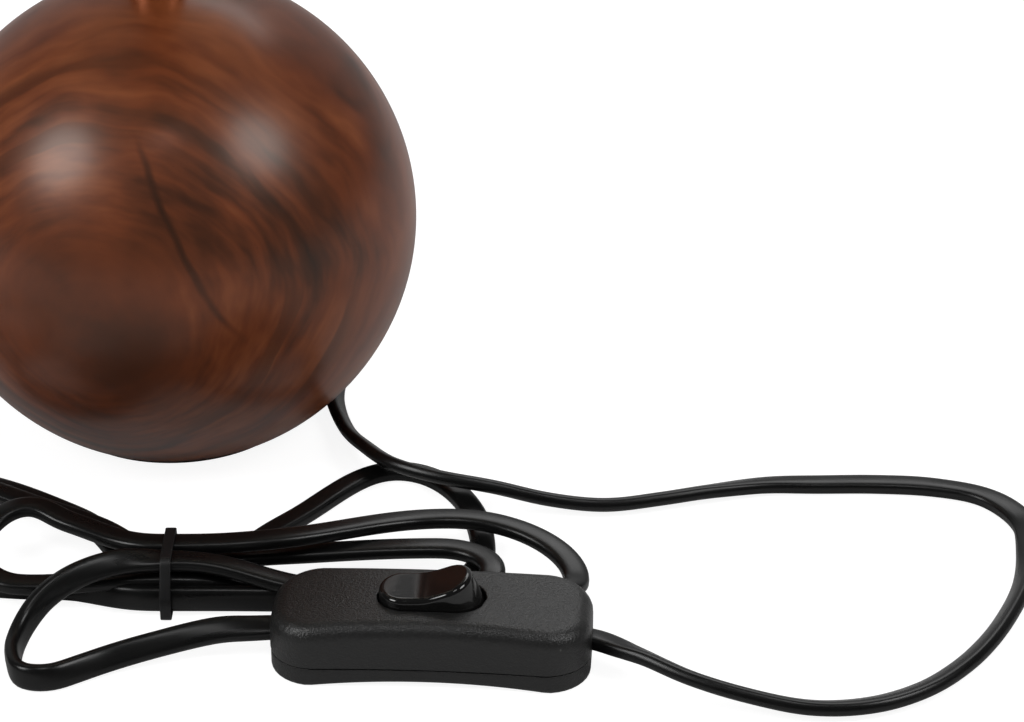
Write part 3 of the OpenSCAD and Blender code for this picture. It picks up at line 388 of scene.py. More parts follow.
# Lacquered dark wood. The rings lie round an axis through the ball: rho is the distance from that
# axis, pushed about by slow noise. One-dimensional noise of rho gives soft bands, and noise over
# (u / rho, v / rho, rho) short streaks along them. Near the axis both fade into cloudy patches.
def woodFinish(look):
    wood = Finish("ballWood", {"Coat Weight": .26, "Coat Roughness": .24, "IOR": 1.5,
                               "Specular IOR Level": .38, "Specular Tint": (1, .86, .74, 1)})
    eye = np.array(look["eye"]) / np.linalg.norm(look["eye"])
    level = np.cross([0, 0, 1], eye)
    level /= np.linalg.norm(level)
    upward = np.cross(eye, level)
    middle = np.array(look["middle"])
    u = wood.along(tuple(level)) - float(level @ middle)
    v = wood.along(tuple(upward)) - float(upward @ middle)
    away = (u * u * .85 + v * v + .00002) ** .5
    drift = wood.noise(wood.place, 13, 2, .5) - .5
    sway = wood.noise(wood.place, 33, 3, .5) - .5
    rho = away + drift * look["warp"] * 2 + sway * .005
    bands = wood.lineNoise(rho * look["bandScale"], 3, .6)
    turn = wood.node("ShaderNodeCombineXYZ", {},
                     {0: u / away * 2.3, 1: v / away * 2.3, 2: rho * look["streakScale"]})
    streaks = wood.noise(turn, 1, 2, .6)
    patches = wood.noise(wood.place, 24, 4, .6)
    clear = wood.between(rho, *look["quiet"])
    tone = ((bands - .5) * .54 + (streaks - .5) * .42) * (clear * .85 + .15)
    tone = tone + patches * .46 + clear * .05 + .235
    for place, reach in look["clouds"]:
        gap = wood.node("ShaderNodeVectorMath", {"operation": "DISTANCE"}, {0: wood.place, 1: place},
                        "Value")
        tone = tone - wood.between(gap + drift * .02, reach, reach * .25) * (patches * .08 + streaks * .08)
    bend, slope, start = look["crack"]
    across = (u - (v * v * bend + v * slope + start) + sway * .006).calc("ABSOLUTE")
    crack = wood.between(across, .0012, 0) * wood.between(v, -.008, .002) * wood.between(v, .038, .032)
    tone = tone - crack * streaks * .24
    body = wood.ramp(tone, [(.26, look["vein"]), (.4, look["deep"]), (.52, look["warm"]),
                            (.72, look["pale"])])
    veins = wood.lineNoise(rho * 190 + 7, 2, .5)
    dark = wood.between(veins, .6, .72) * wood.between(patches, .44, .6) * streaks
    body = wood.mixed(dark * clear * .8, body, look["vein"])
    pores = wood.noise(wood.place, 2600, 2, .6)
    pits = wood.between(pores, .66, .76)
    smudge = wood.noise(wood.place, 30, 3)
    return wood.made(wood.mixed(pits * .3, body, look["pore"]), smudge * .12 + (look["roughness"] - .06),
                     streaks * .5 + pores * .2, .00004, .35)


sheathLook = {"colour": (8, 8, 8), "rubbed": (17, 17, 17), "roughness": .28}


# Flexible black sheath: soft gloss, faint drawing lines along it and a few dull rubs
def sheathFinish(look):
    sheath = Finish("leadSheath", {"IOR": 1.5, "Specular IOR Level": .36})
    lines = sheath.noise(sheath.stretched((2200, 18, 1), sheath.onPiece), 1, 2)
    rubs = sheath.noise(sheath.stretched((420, 60, 1), sheath.onPiece), 1, 4, .6)
    return sheath.made(sheath.mixed(rubs * .5, look["colour"], look["rubbed"]),
                       rubs * .22 + lines * .06 + (look["roughness"] - .12), lines * .5 + rubs, .00003, .5)


plasticLooks = {
    "switchShell": {"colour": (19, 19, 19), "dust": (34, 34, 33), "shine": .5, "roughness": .36,
                    "grain": 3000, "depth": .0002},
    "holderShell": {"colour": (18, 18, 19), "dust": (34, 34, 34), "roughness": .4,
                    "grain": 2600, "depth": .00003},
    "plugShell": {"colour": (18, 18, 19), "dust": (34, 34, 34), "roughness": .38,
                  "grain": 2600, "depth": .00003},
    "bushRubber": {"colour": (16, 16, 16), "dust": (32, 32, 31), "roughness": .55,
                   "grain": 1800, "depth": .00003},
    "tieBand": {"colour": (14, 14, 15), "dust": (26, 26, 26), "roughness": .45,
                "grain": 1500, "depth": .00003},
}


# Moulded plastic with the fine pitted skin of a spark-eroded mould, and a little dust in it
def plasticFinish(name, look):
    shell = Finish(name, {"IOR": 1.5, "Specular IOR Level": look.get("shine", .4)})
    grain = shell.noise(shell.place, look["grain"], 2, .6)
    coarse = shell.noise(shell.place, look["grain"] * .45, 2, .5)
    cloud = shell.noise(shell.place, 90, 4, .6)
    specks = shell.between(shell.noise(shell.place, 800, 1, .4), .78, .82)
    body = shell.mixed(cloud * .25 + grain * .2, look["colour"], look["dust"])
    return shell.made(shell.mixed(specks * .3, body, (120, 120, 116)),
                      grain * .2 + cloud * .08 + (look["roughness"] - .14),
                      grain * .7 + coarse * .6, look["depth"], .8)


# Polished black plastic, with hairline scuffs that only show in its gloss
def rockerFinish():
    gloss = Finish("rockerGloss", {"IOR": 1.52, "Specular IOR Level": .5, "Coat Roughness": .04})
    scuffs = gloss.noise(gloss.stretched((300, 2200, 900)), 1, 3, .7)
    smears = gloss.noise(gloss.place, 170, 3)
    return gloss.made(gloss.mixed(smears * .4, (14, 14, 14), (24, 23, 22)),
                      gloss.between(scuffs, .5, .8, .05, .16) + smears * .05, smears, .00006, .25)


metalLooks = {
    "neckCopper": {"colour": (214, 134, 98), "dark": (150, 84, 58), "roughness": .24,
                   "scale": (90, 90, 2400)},
    "platedSteel": {"colour": (186, 186, 182), "dark": (128, 128, 124), "roughness": .36,
                    "scale": (700, 700, 1500)},
    "weightSteel": {"colour": (104, 106, 108), "dark": (62, 63, 66), "roughness": .48,
                    "scale": (260, 260, 1800)},
    "holderBrass": {"colour": (206, 172, 96), "dark": (142, 108, 52), "roughness": .3,
                    "scale": (600, 600, 1600)},
    "pinNickel": {"colour": (196, 192, 182), "dark": (132, 128, 118), "roughness": .25,
                  "scale": (900, 120, 900)},
    "coreCopper": {"colour": (190, 110, 76), "dark": (120, 66, 46), "roughness": .35,
                   "scale": (900, 900, 900)},
}


# Metal with fine turning marks and a thin uneven tarnish
def metalFinish(name, look):
    metal = Finish(name, {"Metallic": 1.0})
    marks = metal.noise(metal.stretched(look["scale"]), 1, 3, .6)
    tarnish = metal.noise(metal.place, 140, 4, .62)
    share = metal.between(tarnish, .35, .75) * .6 + marks * .15
    return metal.made(metal.mixed(share, look["colour"], look["dark"]),
                      tarnish * .2 + marks * .1 + (look["roughness"] - .13), marks, .00002, .5)


# White powder coat: soft orange peel
def wireFinish():
    coat = Finish("shadeWire", {"IOR": 1.5})
    peel = coat.noise(coat.place, 1400, 3, .6)
    cloud = coat.noise(coat.place, 60, 3)
    return coat.made(coat.mixed(cloud, (222, 221, 216), (206, 205, 199)), peel * .15 + .32, peel, .00003, .6)


# shadow: darker cloth colour, used for painted shade between the threads and also for the threads' own darker
# tints
clothLooks = {
    "shadeCloth": {"thread": .00042, "colour": (229, 222, 206), "shadow": (196, 186, 166), "slub": .5},
    "hemTape": {"thread": .0003, "colour": (221, 213, 196), "shadow": (184, 174, 154), "slub": .25},
}


# Plain weave on the piece's own UV map: threads over and under, each with its own weight and tint.
# Its height is |sin| along warp and weft, one or the other on top where (i + j) is even or odd.
def clothFinish(name, look):
    cloth = Finish(name, {"Sheen Weight": .25, "Sheen Roughness": .5, "Specular IOR Level": .25})
    parts = cloth.node("ShaderNodeSeparateXYZ", {}, {0: cloth.onPiece})
    wander = cloth.noise(cloth.stretched((260, 40, 1), cloth.onPiece), 1, 2) - .5
    drift = cloth.noise(cloth.stretched((40, 260, 1), cloth.onPiece), 1, 2) - .5
    u = Wire(cloth, parts.socket.node.outputs[0]) / look["thread"] + wander * .5
    v = Wire(cloth, parts.socket.node.outputs[1]) / look["thread"] + drift * .5
    warp = (u * math.pi).calc("SINE").calc("ABSOLUTE")
    weft = (v * math.pi).calc("SINE").calc("ABSOLUTE")
    odd = ((u.calc("FLOOR") + v.calc("FLOOR")) * .5).calc("FRACT") * 2
    height = warp * (1 - odd * .55) + weft * (odd * .55 + .45)
    threads = cloth.node("ShaderNodeCombineXYZ", {}, {0: u.calc("FLOOR"), 1: 0, 2: 0})
    picks = cloth.node("ShaderNodeCombineXYZ", {}, {0: 0, 1: v.calc("FLOOR"), 2: 0})
    tint = cloth.node("ShaderNodeTexWhiteNoise", {}, {"Vector": threads})
    tone = cloth.node("ShaderNodeTexWhiteNoise", {}, {"Vector": picks})
    slubs = cloth.noise(cloth.stretched((30, 2400, 1), cloth.onPiece), 1, 2)
    age = cloth.noise(cloth.place, 18, 3)
    # Share of the shadow colour: painted shade where the weave lies low between the threads, plus each
    # thread's own tint, slubs and age
    shade = (1 - height * .55) * .55 + tint * .12 + tone * .12 + slubs * look["slub"] * .25 + age * .12 - .1
    return cloth.made(cloth.mixed(shade, look["colour"], look["shadow"]), height * -.1 + .92,
                      height + slubs * .6, .00009, .8)


# Pressed black felt: matted fibres in all directions
def feltFinish():
    felt = Finish("baseFelt", {"Sheen Weight": .3, "Specular IOR Level": .15})
    fibres = felt.noise(felt.place, 2400, 4, .75, 1.5)
    tufts = felt.noise(felt.place, 420, 3, .6)
    return felt.made(felt.mixed(fibres, (22, 22, 23), (52, 51, 50)), tufts * .1 + .88,
                     fibres + tufts, .0003, .8)


# Unglazed steatite, pale and slightly speckled
def ceramicFinish():
    clay = Finish("holderCeramic", {"IOR": 1.5})
    specks = clay.noise(clay.place, 1200, 3, .6)
    return clay.made(clay.mixed(specks, (226, 221, 208), (204, 197, 180)), specks * .2 + .45,
                     specks, .00004, .5)


finishes = {"ballWood": woodFinish(woodLook), "leadSheath": sheathFinish(sheathLook),
            "rockerGloss": rockerFinish(), "shadeWire": wireFinish(), "baseFelt": feltFinish(),
            "holderCeramic": ceramicFinish()}
for made, looks in ((plasticFinish, plasticLooks), (metalFinish, metalLooks), (clothFinish, clothLooks)):
    finishes.update({name: made(name, look) for name, look in looks.items()})
slotFinishes = {
    "lead sheath": "leadSheath", "tie band": "tieBand", "switch plastic": "switchShell",
    "rocker plastic": "rockerGloss", "ball wood": "ballWood", "black felt": "baseFelt",
    "black rubber": "bushRubber", "copper": "neckCopper", "holder plastic": "holderShell",
    "brass": "holderBrass", "shade cloth": "shadeCloth", "hem tape": "hemTape", "shade wire": "shadeWire",
    "plug plastic": "plugShell", "plug brass": "pinNickel",
}
print("finishes made:", len(finishes))


# Cords. Routes, hank and coil follow the solids' own. The first two stretches show in the picture and
# were fitted to it, which moves them off the solids' routes by up to about 3 mm.
lead = {"width": .0053, "thickness": .003, "power": 3.1, "lay": .0015, "layer": .0037, "step": .0011,
        "easing": 12}
leadRoutes = {   # points on the middle line of each stretch, in metres
    "fromLamp": [
        (0, .061, .013), (0, .066, .013), (.001, .073, .011), (.0045, .081, .0065), (.011, .088, .003),
        (.0205, .0915, .0015), (.031, .089, .0015), (.039, .081, .0015), (.042, .07, .0015),
        (.041, .057, .0015), (.0395, .043, .0015), (.0375, .029, .0015), (.0355, .015, .0015),
        (.0348, .002, .0015), (.0386, -.0156, .0016), (.043, -.0273, .0042), (.0494, -.0374, .0056),
        (.0596, -.043, .0056), (.0712, -.0453, .0045), (.0828, -.0469, .0024), (.0946, -.0477, .0015),
        (.1065, -.0451, .0015), (.118, -.0415, .0015), (.1297, -.0384, .0015), (.1417, -.0379, .0015),
        (.1538, -.0378, .0015), (.1657, -.0391, .0015), (.1766, -.0437, .0015), (.1825, -.054, .0015),
        (.1819, -.0669, .0015), (.1794, -.0791, .0015), (.175, -.0905, .0015), (.1697, -.1008, .0015),
        (.1631, -.1102, .0015), (.1545, -.1185, .0015), (.1439, -.1238, .0015), (.132, -.125, .0016),
        (.1203, -.1223, .0024), (.1093, -.1178, .0035), (.0994, -.1114, .0048),
    ],
    "fromSwitch": [
        (.0239, -.1019, .005), (.0178, -.1021, .0046), (.012, -.1032, .0038), (.0062, -.1049, .003),
        (.0006, -.1068, .0023), (-.0047, -.1091, .0017), (-.0098, -.1123, .0015),
        (-.0147, -.1153, .0015), (-.0203, -.1145, .0015), (-.0226, -.1086, .0015),
        (-.0229, -.103, .0015), (-.0214, -.0982, .0034), (-.0184, -.0945, .0063),
        (-.0141, -.0912, .0085), (-.0091, -.0879, .0095), (-.004, -.0854, .0098),
    ],
    "fromHank": [
        (.0015, -.0762, .0059), (-.004, -.07, .0058), (-.01, -.0632, .0053), (-.017, -.058, .005),
        (-.027, -.052, .005), (-.037, -.0455, .005), (-.048, -.04, .0052), (-.06, -.037, .0052),
        (-.07, -.037, .004), (-.08, -.039, .002), (-.092, -.0426, .0015),
    ],
    "toPlug": [
        (-.073, -.062, .0052), (-.073, -.05, .0066), (-.073, -.039, .0078), (-.073, -.03, .0072),
        (-.073, -.026, .00685),
    ],
}
hankLoops = {   # fan, peak, tip, belly and fan of each loop
    "right": [
        [(.0275, -.0748, .0099), (.062, -.06, .006), (.0882, -.081, .0036), (.079, -.0888, .007),
         (.035, -.0868, .0056)],
        [(.0275, -.0545, .0015), (.05, -.0318, .0015), (.069, -.066, .0015), (.056, -.0824, .0015),
         (.0275, -.0804, .0015)],
        [(.0275, -.0726, .0048), (.06, -.0704, .005), (.0712, -.0795, .005), (.062, -.0886, .0015),
         (.035, -.0868, .0016)],
    ],
    "left": [
        [(-.0165, -.0665, .009), (-.025, -.0626, .0105), (-.035, -.0735, .007), (-.024, -.0848, .005),
         (-.0165, -.0846, .005)],
        [(-.0165, -.052, .0015), (-.053, -.0345, .0015), (-.064, -.053, .0015), (-.046, -.0795, .0015),
         (-.0165, -.0815, .0015)],
    ],
}
leadTips = {   # length along the lead, in metres, and its roll there in degrees, left edge up
    "fromLamp": [
        (0, 0), (.09, 0), (.14, -50), (.16, -57), (.172, -45), (.196, -33), (.256, -30), (.268, -15),
        (.28, -4), (.304, 0), (.316, -4), (.328, 10), (.345, 40), (.364, 48), (.376, 43), (.388, 34),
        (.4, 28), (.412, 24), (.424, 26), (.436, 34), (.448, 37), (.463, 34), (.4703, 6), (.484, 0),
    ],
    "fromSwitch": [
        (0, 0), (.0131, -16), (.0171, -24), (.0231, -38), (.0351, -50), (.0471, -58), (.0591, -72),
        (.0651, -90), (.0711, -99), (.0771, -103), (.0831, -100), (.0891, -104), (.0951, -112),
        (.1011, -122), (.1071, -140), (.1141, -176), (.1181, -180), (.736, -180), (.752, -112),
        (.762, -96), (.798, -94), (.806, -100), (.822, -180),
    ],
}
tie = {"x": .0055, "front": (-.0876, -.084, -.0835), "back": -.0768, "lift": .0009, "run": .003,
       "thickness": .0006, "width": .0022, "slack": .0003}
coil = {"x": -.104, "y": -.075, "outer": .031, "inner": .028, "turns": 1.75}
switch = {"x": .0593, "y": -.1035, "yaw": -3.5, "length": .063, "endWidth": .0254, "waistWidth": .0238,
          "height": .0128, "crown": .0013, "crownReach": .027, "arch": .0011, "archReach": .024,
          "seam": .0042, "wall": .0016, "corner": .009, "round": .0032, "inset": .0001,
          "slotLength": .0214, "slotWidth": .012, "lip": .00028, "leadHeight": .0052,
          "leadHole": (.0028, .0018), "screwX": .0155, "post": .0046, "foot": .001,
          "coverEdge": ((.0003, 0), (.00008, .00012), (0, .0004)),     # inset and height off the seam
          "baseEdge": ((0, .0005), (.00008, .00016), (.0003, 0))}
plug = {"x": -.073, "y": -.002, "z": .00685, "relief": .018, "width": .035, "thickness": .0137,
        "length": .036, "pinGap": .0186, "pin": .004, "pinLength": .019, "sleeve": .010,
        "reliefEnd": .0036, "reliefGrow": .0014, "slots": (.00375, .0038, 4, .0018, .0012)}


# Points of the switch, turned by its yaw about its middle and moved to its place
def inSwitch(points):
    p, a = np.asarray(points, float), math.radians(switch["yaw"])
    x = switch["x"] + p[..., 0] * math.cos(a) - p[..., 1] * math.sin(a)
    y = switch["y"] + p[..., 0] * math.sin(a) + p[..., 1] * math.cos(a)
    return np.stack([x, y, p[..., 2]], -1)


# Smooth line through points: between two of them a cubic whose slopes at the ends are the mean of
# the slopes on both sides, each weighted by the other side's length.
def smoothLine(points, step):
    p = np.asarray(points, float)
    span = np.linalg.norm(np.diff(p, axis=0), axis=1)
    slope = np.diff(p, axis=0) / span[:, None]
    inner = (slope[:-1] * span[1:, None] + slope[1:] * span[:-1, None]) / (span[1:] + span[:-1])[:, None]
    tangent = np.concatenate([slope[:1], inner, slope[-1:]])
    where = np.concatenate([[0], np.cumsum(span)])
    s = np.linspace(0, where[-1], max(2, int(round(where[-1] / step)) + 1))
    k = np.clip(np.searchsorted(where, s, "right") - 1, 0, len(span) - 1)
    h = span[k][:, None]
    t = ((s - where[k]) / span[k])[:, None]
    return ((2 * t ** 3 - 3 * t ** 2 + 1) * p[k] + (t ** 3 - 2 * t ** 2 + t) * h * tangent[k]
            + (3 * t ** 2 - 2 * t ** 3) * p[k + 1] + (t ** 3 - t ** 2) * h * tangent[k + 1])


# Cubic with four handles, at n parameters from 0 up to but not including 1
def bezier(a, b, c, d, n):
    t = (np.arange(n) / n)[:, None]
    return a * (1 - t) ** 3 + b * 3 * t * (1 - t) ** 2 + c * 3 * t ** 2 * (1 - t) + d * t ** 3


# Point where a strand of this level lies in the tie
def atTie(y, level, run=0):
    return np.array([tie["x"] + run, y, lead["lay"] + level * lead["layer"] + tie["lift"]])


# From a tie's point to a loop's far end by way of the point where the strands fan out
def leg(a, fan, b, n=9):
    a, fan, b = (np.asarray(q, float) for q in (a, fan, b))
    ahead = (b - a) / np.linalg.norm(b - a)
    m, k = ahead * np.linalg.norm(fan - a) * .35, ahead * np.linalg.norm(b - fan) * .35
    out, back = np.array([(fan[0] - a[0]) * .4, 0, 0]), np.array([(b[0] - fan[0]) * .4, 0, 0])
    return np.concatenate([bezier(a, a + out, fan - m, fan, n), bezier(fan, fan + k, b - back, b, n)])


# Quarter turn that leaves a along X and comes into b along Y
def bend(a, b, n=12):
    a, b = np.asarray(a, float), np.asarray(b, float)
    first = np.array([a[0] + (b[0] - a[0]) * .55, a[1], a[2]])
    last = np.array([b[0], b[1] - (b[1] - a[1]) * .55, b[2]])
    return bezier(a, first, last, b, n)


# One loop of the hank, out of the tie at the back, round its tip and back to the tie in front
def hankLoop(points, run, backLevel, frontLevel):
    fan, peak, tip, belly, ret = points
    return np.concatenate([
        leg(atTie(tie["back"], backLevel, run), fan, peak), bend(peak, tip), [tip],
        bend(belly, tip)[::-1], leg(atTie(tie["front"][frontLevel], frontLevel, run), ret, belly)[::-1]])


def hankLine():
    right, left, run = hankLoops["right"], hankLoops["left"], tie["run"]
    return np.concatenate([
        hankLoop(right[0], run, 2, 2)[::-1], hankLoop(left[0], -run, 2, 1),
        hankLoop(right[1], run, 0, 1)[::-1], hankLoop(left[1], -run, 0, 0),
        hankLoop(right[2], run, 1, 0)[::-1]])


# Coil: radius from outer to inner and back, climbing one layer over a quarter of a turn
def coilLine(n=190):
    t = np.linspace(0, coil["turns"], n)
    middle = coil["turns"] / 2
    r = coil["outer"] - (coil["outer"] - coil["inner"]) * (1 - np.abs(t - middle) / middle)
    c = np.clip((t - .75) / .25, 0, 1)
    a = np.radians(90 + 360 * t)
    return np.stack([coil["x"] + r * np.cos(a), coil["y"] + r * np.sin(a),
                     lead["lay"] + lead["layer"] * c * c * (3 - 2 * c)], -1)


# Evenly spaced points along a line, with short kinks smoothed by a few passes of (a + 2b + c) / 4
def evened(line, step, passes=0):
    run = runAlong(line)
    s = np.linspace(0, run[-1], int(round(run[-1] / step)) + 1)
    even = np.stack([np.interp(s, run, line[:, k]) for k in range(3)], -1)
    for _ in range(passes):
        even[1:-1] = (even[:-2] + 2 * even[1:-1] + even[2:]) / 4
    return even


# A flat lead tips over where it bends. Its roll at each length is read from the stretch's own pairs
# and smoothed, and its middle is lifted by what the tipped section is taller than the flat one: half
# its height is (|a sin|^q + |b cos|^q)^(1/q).
def tipped(line, pairs):
    run = np.arange(len(line)) * lead["step"]
    roll = np.radians(np.interp(run, *np.transpose(pairs)))
    for _ in range(lead["easing"]):
        roll[1:-1] = (roll[:-2] + 2 * roll[1:-1] + roll[2:]) / 4
    a, b, q = lead["width"] / 2, lead["thickness"] / 2, lead["power"] / (lead["power"] - 1)
    tall = ((a * np.abs(np.sin(roll))) ** q + (b * np.abs(np.cos(roll))) ** q) ** (1 / q)
    return line + np.stack([tall * 0, tall * 0, tall - b], -1), roll


leadSection = squircle(lead["width"] / 2, lead["thickness"] / 2, lead["power"], 22)
socketX, endX, leadZ = .0184, switch["length"] / 2, switch["leadHeight"]
inside = endX - socketX
lampLine = evened(smoothLine(leadRoutes["fromLamp"] + inSwitch(
    [(endX, 0, leadZ), (socketX, 0, leadZ)]).tolist(), .0005), lead["step"], 3)
print("lamp lead to the switch's end: %.4f m" % (lengthOf(lampLine) - inside))
lampLine, lampRoll = tipped(lampLine, leadTips["fromLamp"])
hank = hankLine()
coilPath = coilLine()
tail = smoothLine(inSwitch([(-socketX, 0, leadZ), (-endX, 0, leadZ)]).tolist() + leadRoutes["fromSwitch"]
                  + [atTie(tie["front"][2], 2)], .0005)
bundleLine = np.concatenate([
    tail[:-1], hank,
    smoothLine([atTie(tie["back"], 1)] + leadRoutes["fromHank"] + [coilPath[0]], .0005)[:-1],
    coilPath[:-1],
    smoothLine([coilPath[-1]] + leadRoutes["toPlug"]
               + [(plug["x"], plug["y"] - plug["relief"], plug["z"])], .0005)])
bundleLine = evened(bundleLine, lead["step"], 4)
bundleLine, bundleRoll = tipped(bundleLine, leadTips["fromSwitch"])

lampLead = wear(swept("lampLead", lampLine, leadSection, roll=lampRoll), "lead sheath", ["lamp_lead"])
bundleLead = wear(swept("bundleLead", bundleLine, leadSection, roll=bundleRoll), "lead sheath",
                  ["switch_lead", "cord_hank", "plug_lead", "plug_coil", "coil_end_lead"])
print("leads made: %.3f m and %.3f m" % (lengthOf(lampLine), lengthOf(bundleLine)))


# Thin band round the waist of the hank, square in section with its edges eased
def makeTie():
    half = tie["thickness"] / 2
    side = lead["width"] / 2 + tie["slack"] + half
    top = tie["lift"] + 2 * lead["layer"] + lead["thickness"] + tie["slack"] + half
    step = tie["lift"] + lead["thickness"] + 2 * tie["slack"]
    back, front, upper = tie["back"] + side, tie["front"][0] - side, tie["front"][2] - side
    ring = rounded([(back, half), (front, half), (front, step), (upper, top), (back, top)], .0012, 8)
    path = np.stack([np.full(len(ring), tie["x"]), ring[:, 0], ring[:, 1]], -1)
    section = squircle(tie["width"] / 2, tie["thickness"] / 2, 6, 20)
    return swept("hankTie", path, section, side=(1, 0, 0), closed=True)


hankTie = wear(crease(makeTie(), 50), "tie band", ["hank_tie"])


# Switch. Its outline has round corners and long sides drawn in along a parabola: half width(x) is
# end / 2 - (end - waist) / 2 * (1 - (x / run)^2). An inset moves all of it in.
def halfWidthAt(x):
    run = switch["length"] / 2 - switch["corner"]
    return switch["endWidth"] / 2 - (switch["endWidth"] - switch["waistWidth"]) / 2 * (1 - (x / run) ** 2)


def switchOutline(inset, z, cornerSteps=10, sideSteps=26):
    run, rise = switch["length"] / 2 - switch["corner"], switch["endWidth"] / 2 - switch["corner"]
    x = np.linspace(run, -run, sideSteps + 2)[1:-1]
    y = halfWidthAt(x) - inset
    a = np.linspace(0, np.pi / 2, cornerSteps)
    r = switch["corner"] - inset
    corner = np.stack([run + r * np.cos(a), rise + r * np.sin(a)], -1)
    side = np.stack([x, y], -1)
    far = np.stack([-run - r * np.cos(a[::-1]), rise + r * np.sin(a[::-1])], -1)
    half = np.concatenate([corner, side, far])
    ring = np.concatenate([half, -half])
    return np.concatenate([ring, np.full((len(ring), 1), z)], 1)


# Ring of the rocker's opening widened by an edge, with its points spaced as the outline's are
def openingRing(widen, z):
    outline = switchOutline(switch["round"], z)
    ring = stadium(switch["slotLength"] / 2 + widen, switch["slotWidth"] / 2 + widen, 60, 60)
    loop = np.concatenate([ring, ring[:1]])
    run, share = runAlong(loop), runAlong(np.concatenate([outline, outline[:1]]))
    start = run[np.argmin(np.abs(np.arctan2(ring[:, 1], ring[:, 0])))]
    s = (share[:-1] / share[-1] * run[-1] + start) % run[-1]
    return np.stack([np.interp(s, run, loop[:, 0]), np.interp(s, run, loop[:, 1]), s * 0 + z], -1)


# The top is a parabola along the switch, height + crown * (1 - (x / reach)^2), and the underside an
# arc of radius r that rises by arch in the middle: arch - r + sqrt(r^2 - x^2)
def crowned(ring, depth=0):
    x = ring[:, 0]
    rise = switch["crown"] * (1 - (x / switch["crownReach"]) ** 2)
    return np.stack([x, ring[:, 1], switch["height"] + rise - depth], -1)


def arched(ring, up=0):
    x, arch = ring[:, 0], switch["arch"]
    r = (switch["archReach"] ** 2 + arch ** 2) / (2 * arch)
    return np.stack([x, ring[:, 1], np.maximum(arch - r + np.sqrt(r * r - x * x), 0) + up], -1)


def leadCutters():
    hole = stadium(*switch["leadHole"], 14, 4)
    return [swept("leadHole", inSwitch([(s * x, 0, leadZ) for x in (.025, .031, .037)]), hole)
            for s in (-1, 1)]


def makeSwitchCover():
    seam, r, wall = switch["seam"], switch["round"], switch["wall"]
    rows = [switchOutline(inset, seam + rise) for inset, rise in switch["coverEdge"]]
    rows += [crowned(switchOutline(0, 0), r + .0003)]
    rows += [crowned(switchOutline(inset, 0), drop) for inset, drop in quarterRound(r, 13)]
    flat, around = switchOutline(r + .0002, 0), openingRing(.0006, 0)
    rows += [crowned(flat * (1 - t) + around * t) for t in np.linspace(0, 1, 9)]
    rows += [crowned(openingRing(widen, 0), drop) for drop, widen in quarterRound(switch["lip"], 4)]
    inner, opening = switchOutline(wall, 0), openingRing(0, 0)
    rows += [crowned(opening, .0006), crowned(opening, wall), crowned((opening + inner) / 2, wall),
             crowned(inner, wall), switchOutline(wall, seam)]
    return cutAway(surface("switchCover", inSwitch(np.array(rows)), along=True), leadCutters(), 40)


def makeSwitchBase():
    inset, wall, seam, foot = switch["inset"], switch["wall"], switch["seam"] - .0001, switch["foot"]
    under = switchOutline(inset + foot + .0012, 0)
    rows = [arched(under * share) for share in (.1, .3, .5, .7, .85, 1)]
    rows += [arched(switchOutline(inset + foot + .0002, 0))]
    rows += [arched(switchOutline(inset + more, 0), up) for up, more in quarterRound(foot, 8)]
    rows += [arched(switchOutline(inset, 0), foot + .0003)]
    rows += [switchOutline(inset + more, seam - drop) for more, drop in switch["baseEdge"]]
    rows += [switchOutline(inset + wall, seam), switchOutline(inset + wall, switch["arch"] + wall)]
    shell = surface("switchBase", inSwitch(np.array(rows)),
                    poles=[inSwitch([0, 0, switch["arch"]]), inSwitch([0, 0, switch["arch"] + wall])])
    y = halfWidthAt(switch["screwX"]) - switch["wall"] - switch["post"] / 2 - .0003
    wells = [turned("screwWell", [(.0022, -.001), (.0022, .0026)], inSwitch([s * switch["screwX"], y, 0]),
                    steps=40, closed=False) for s in (-1, 1)]
    return cutAway(shell, leadCutters() + wells, 40)


switchCover = wear(makeSwitchCover(), "switch plastic", ["switch_cover"])
switchBase = wear(makeSwitchBase(), "switch plastic", ["switch_base"])

rocker = {"height": .0111, "tilt": 11.5, "gap": .0003, "dip": .0053, "valley": .0019, "drop": .0012,
          "hollow": .0035, "skirt": .0026, "edge": .0002, "wall": .0016, "rim": .0011, "line": 1e-7}


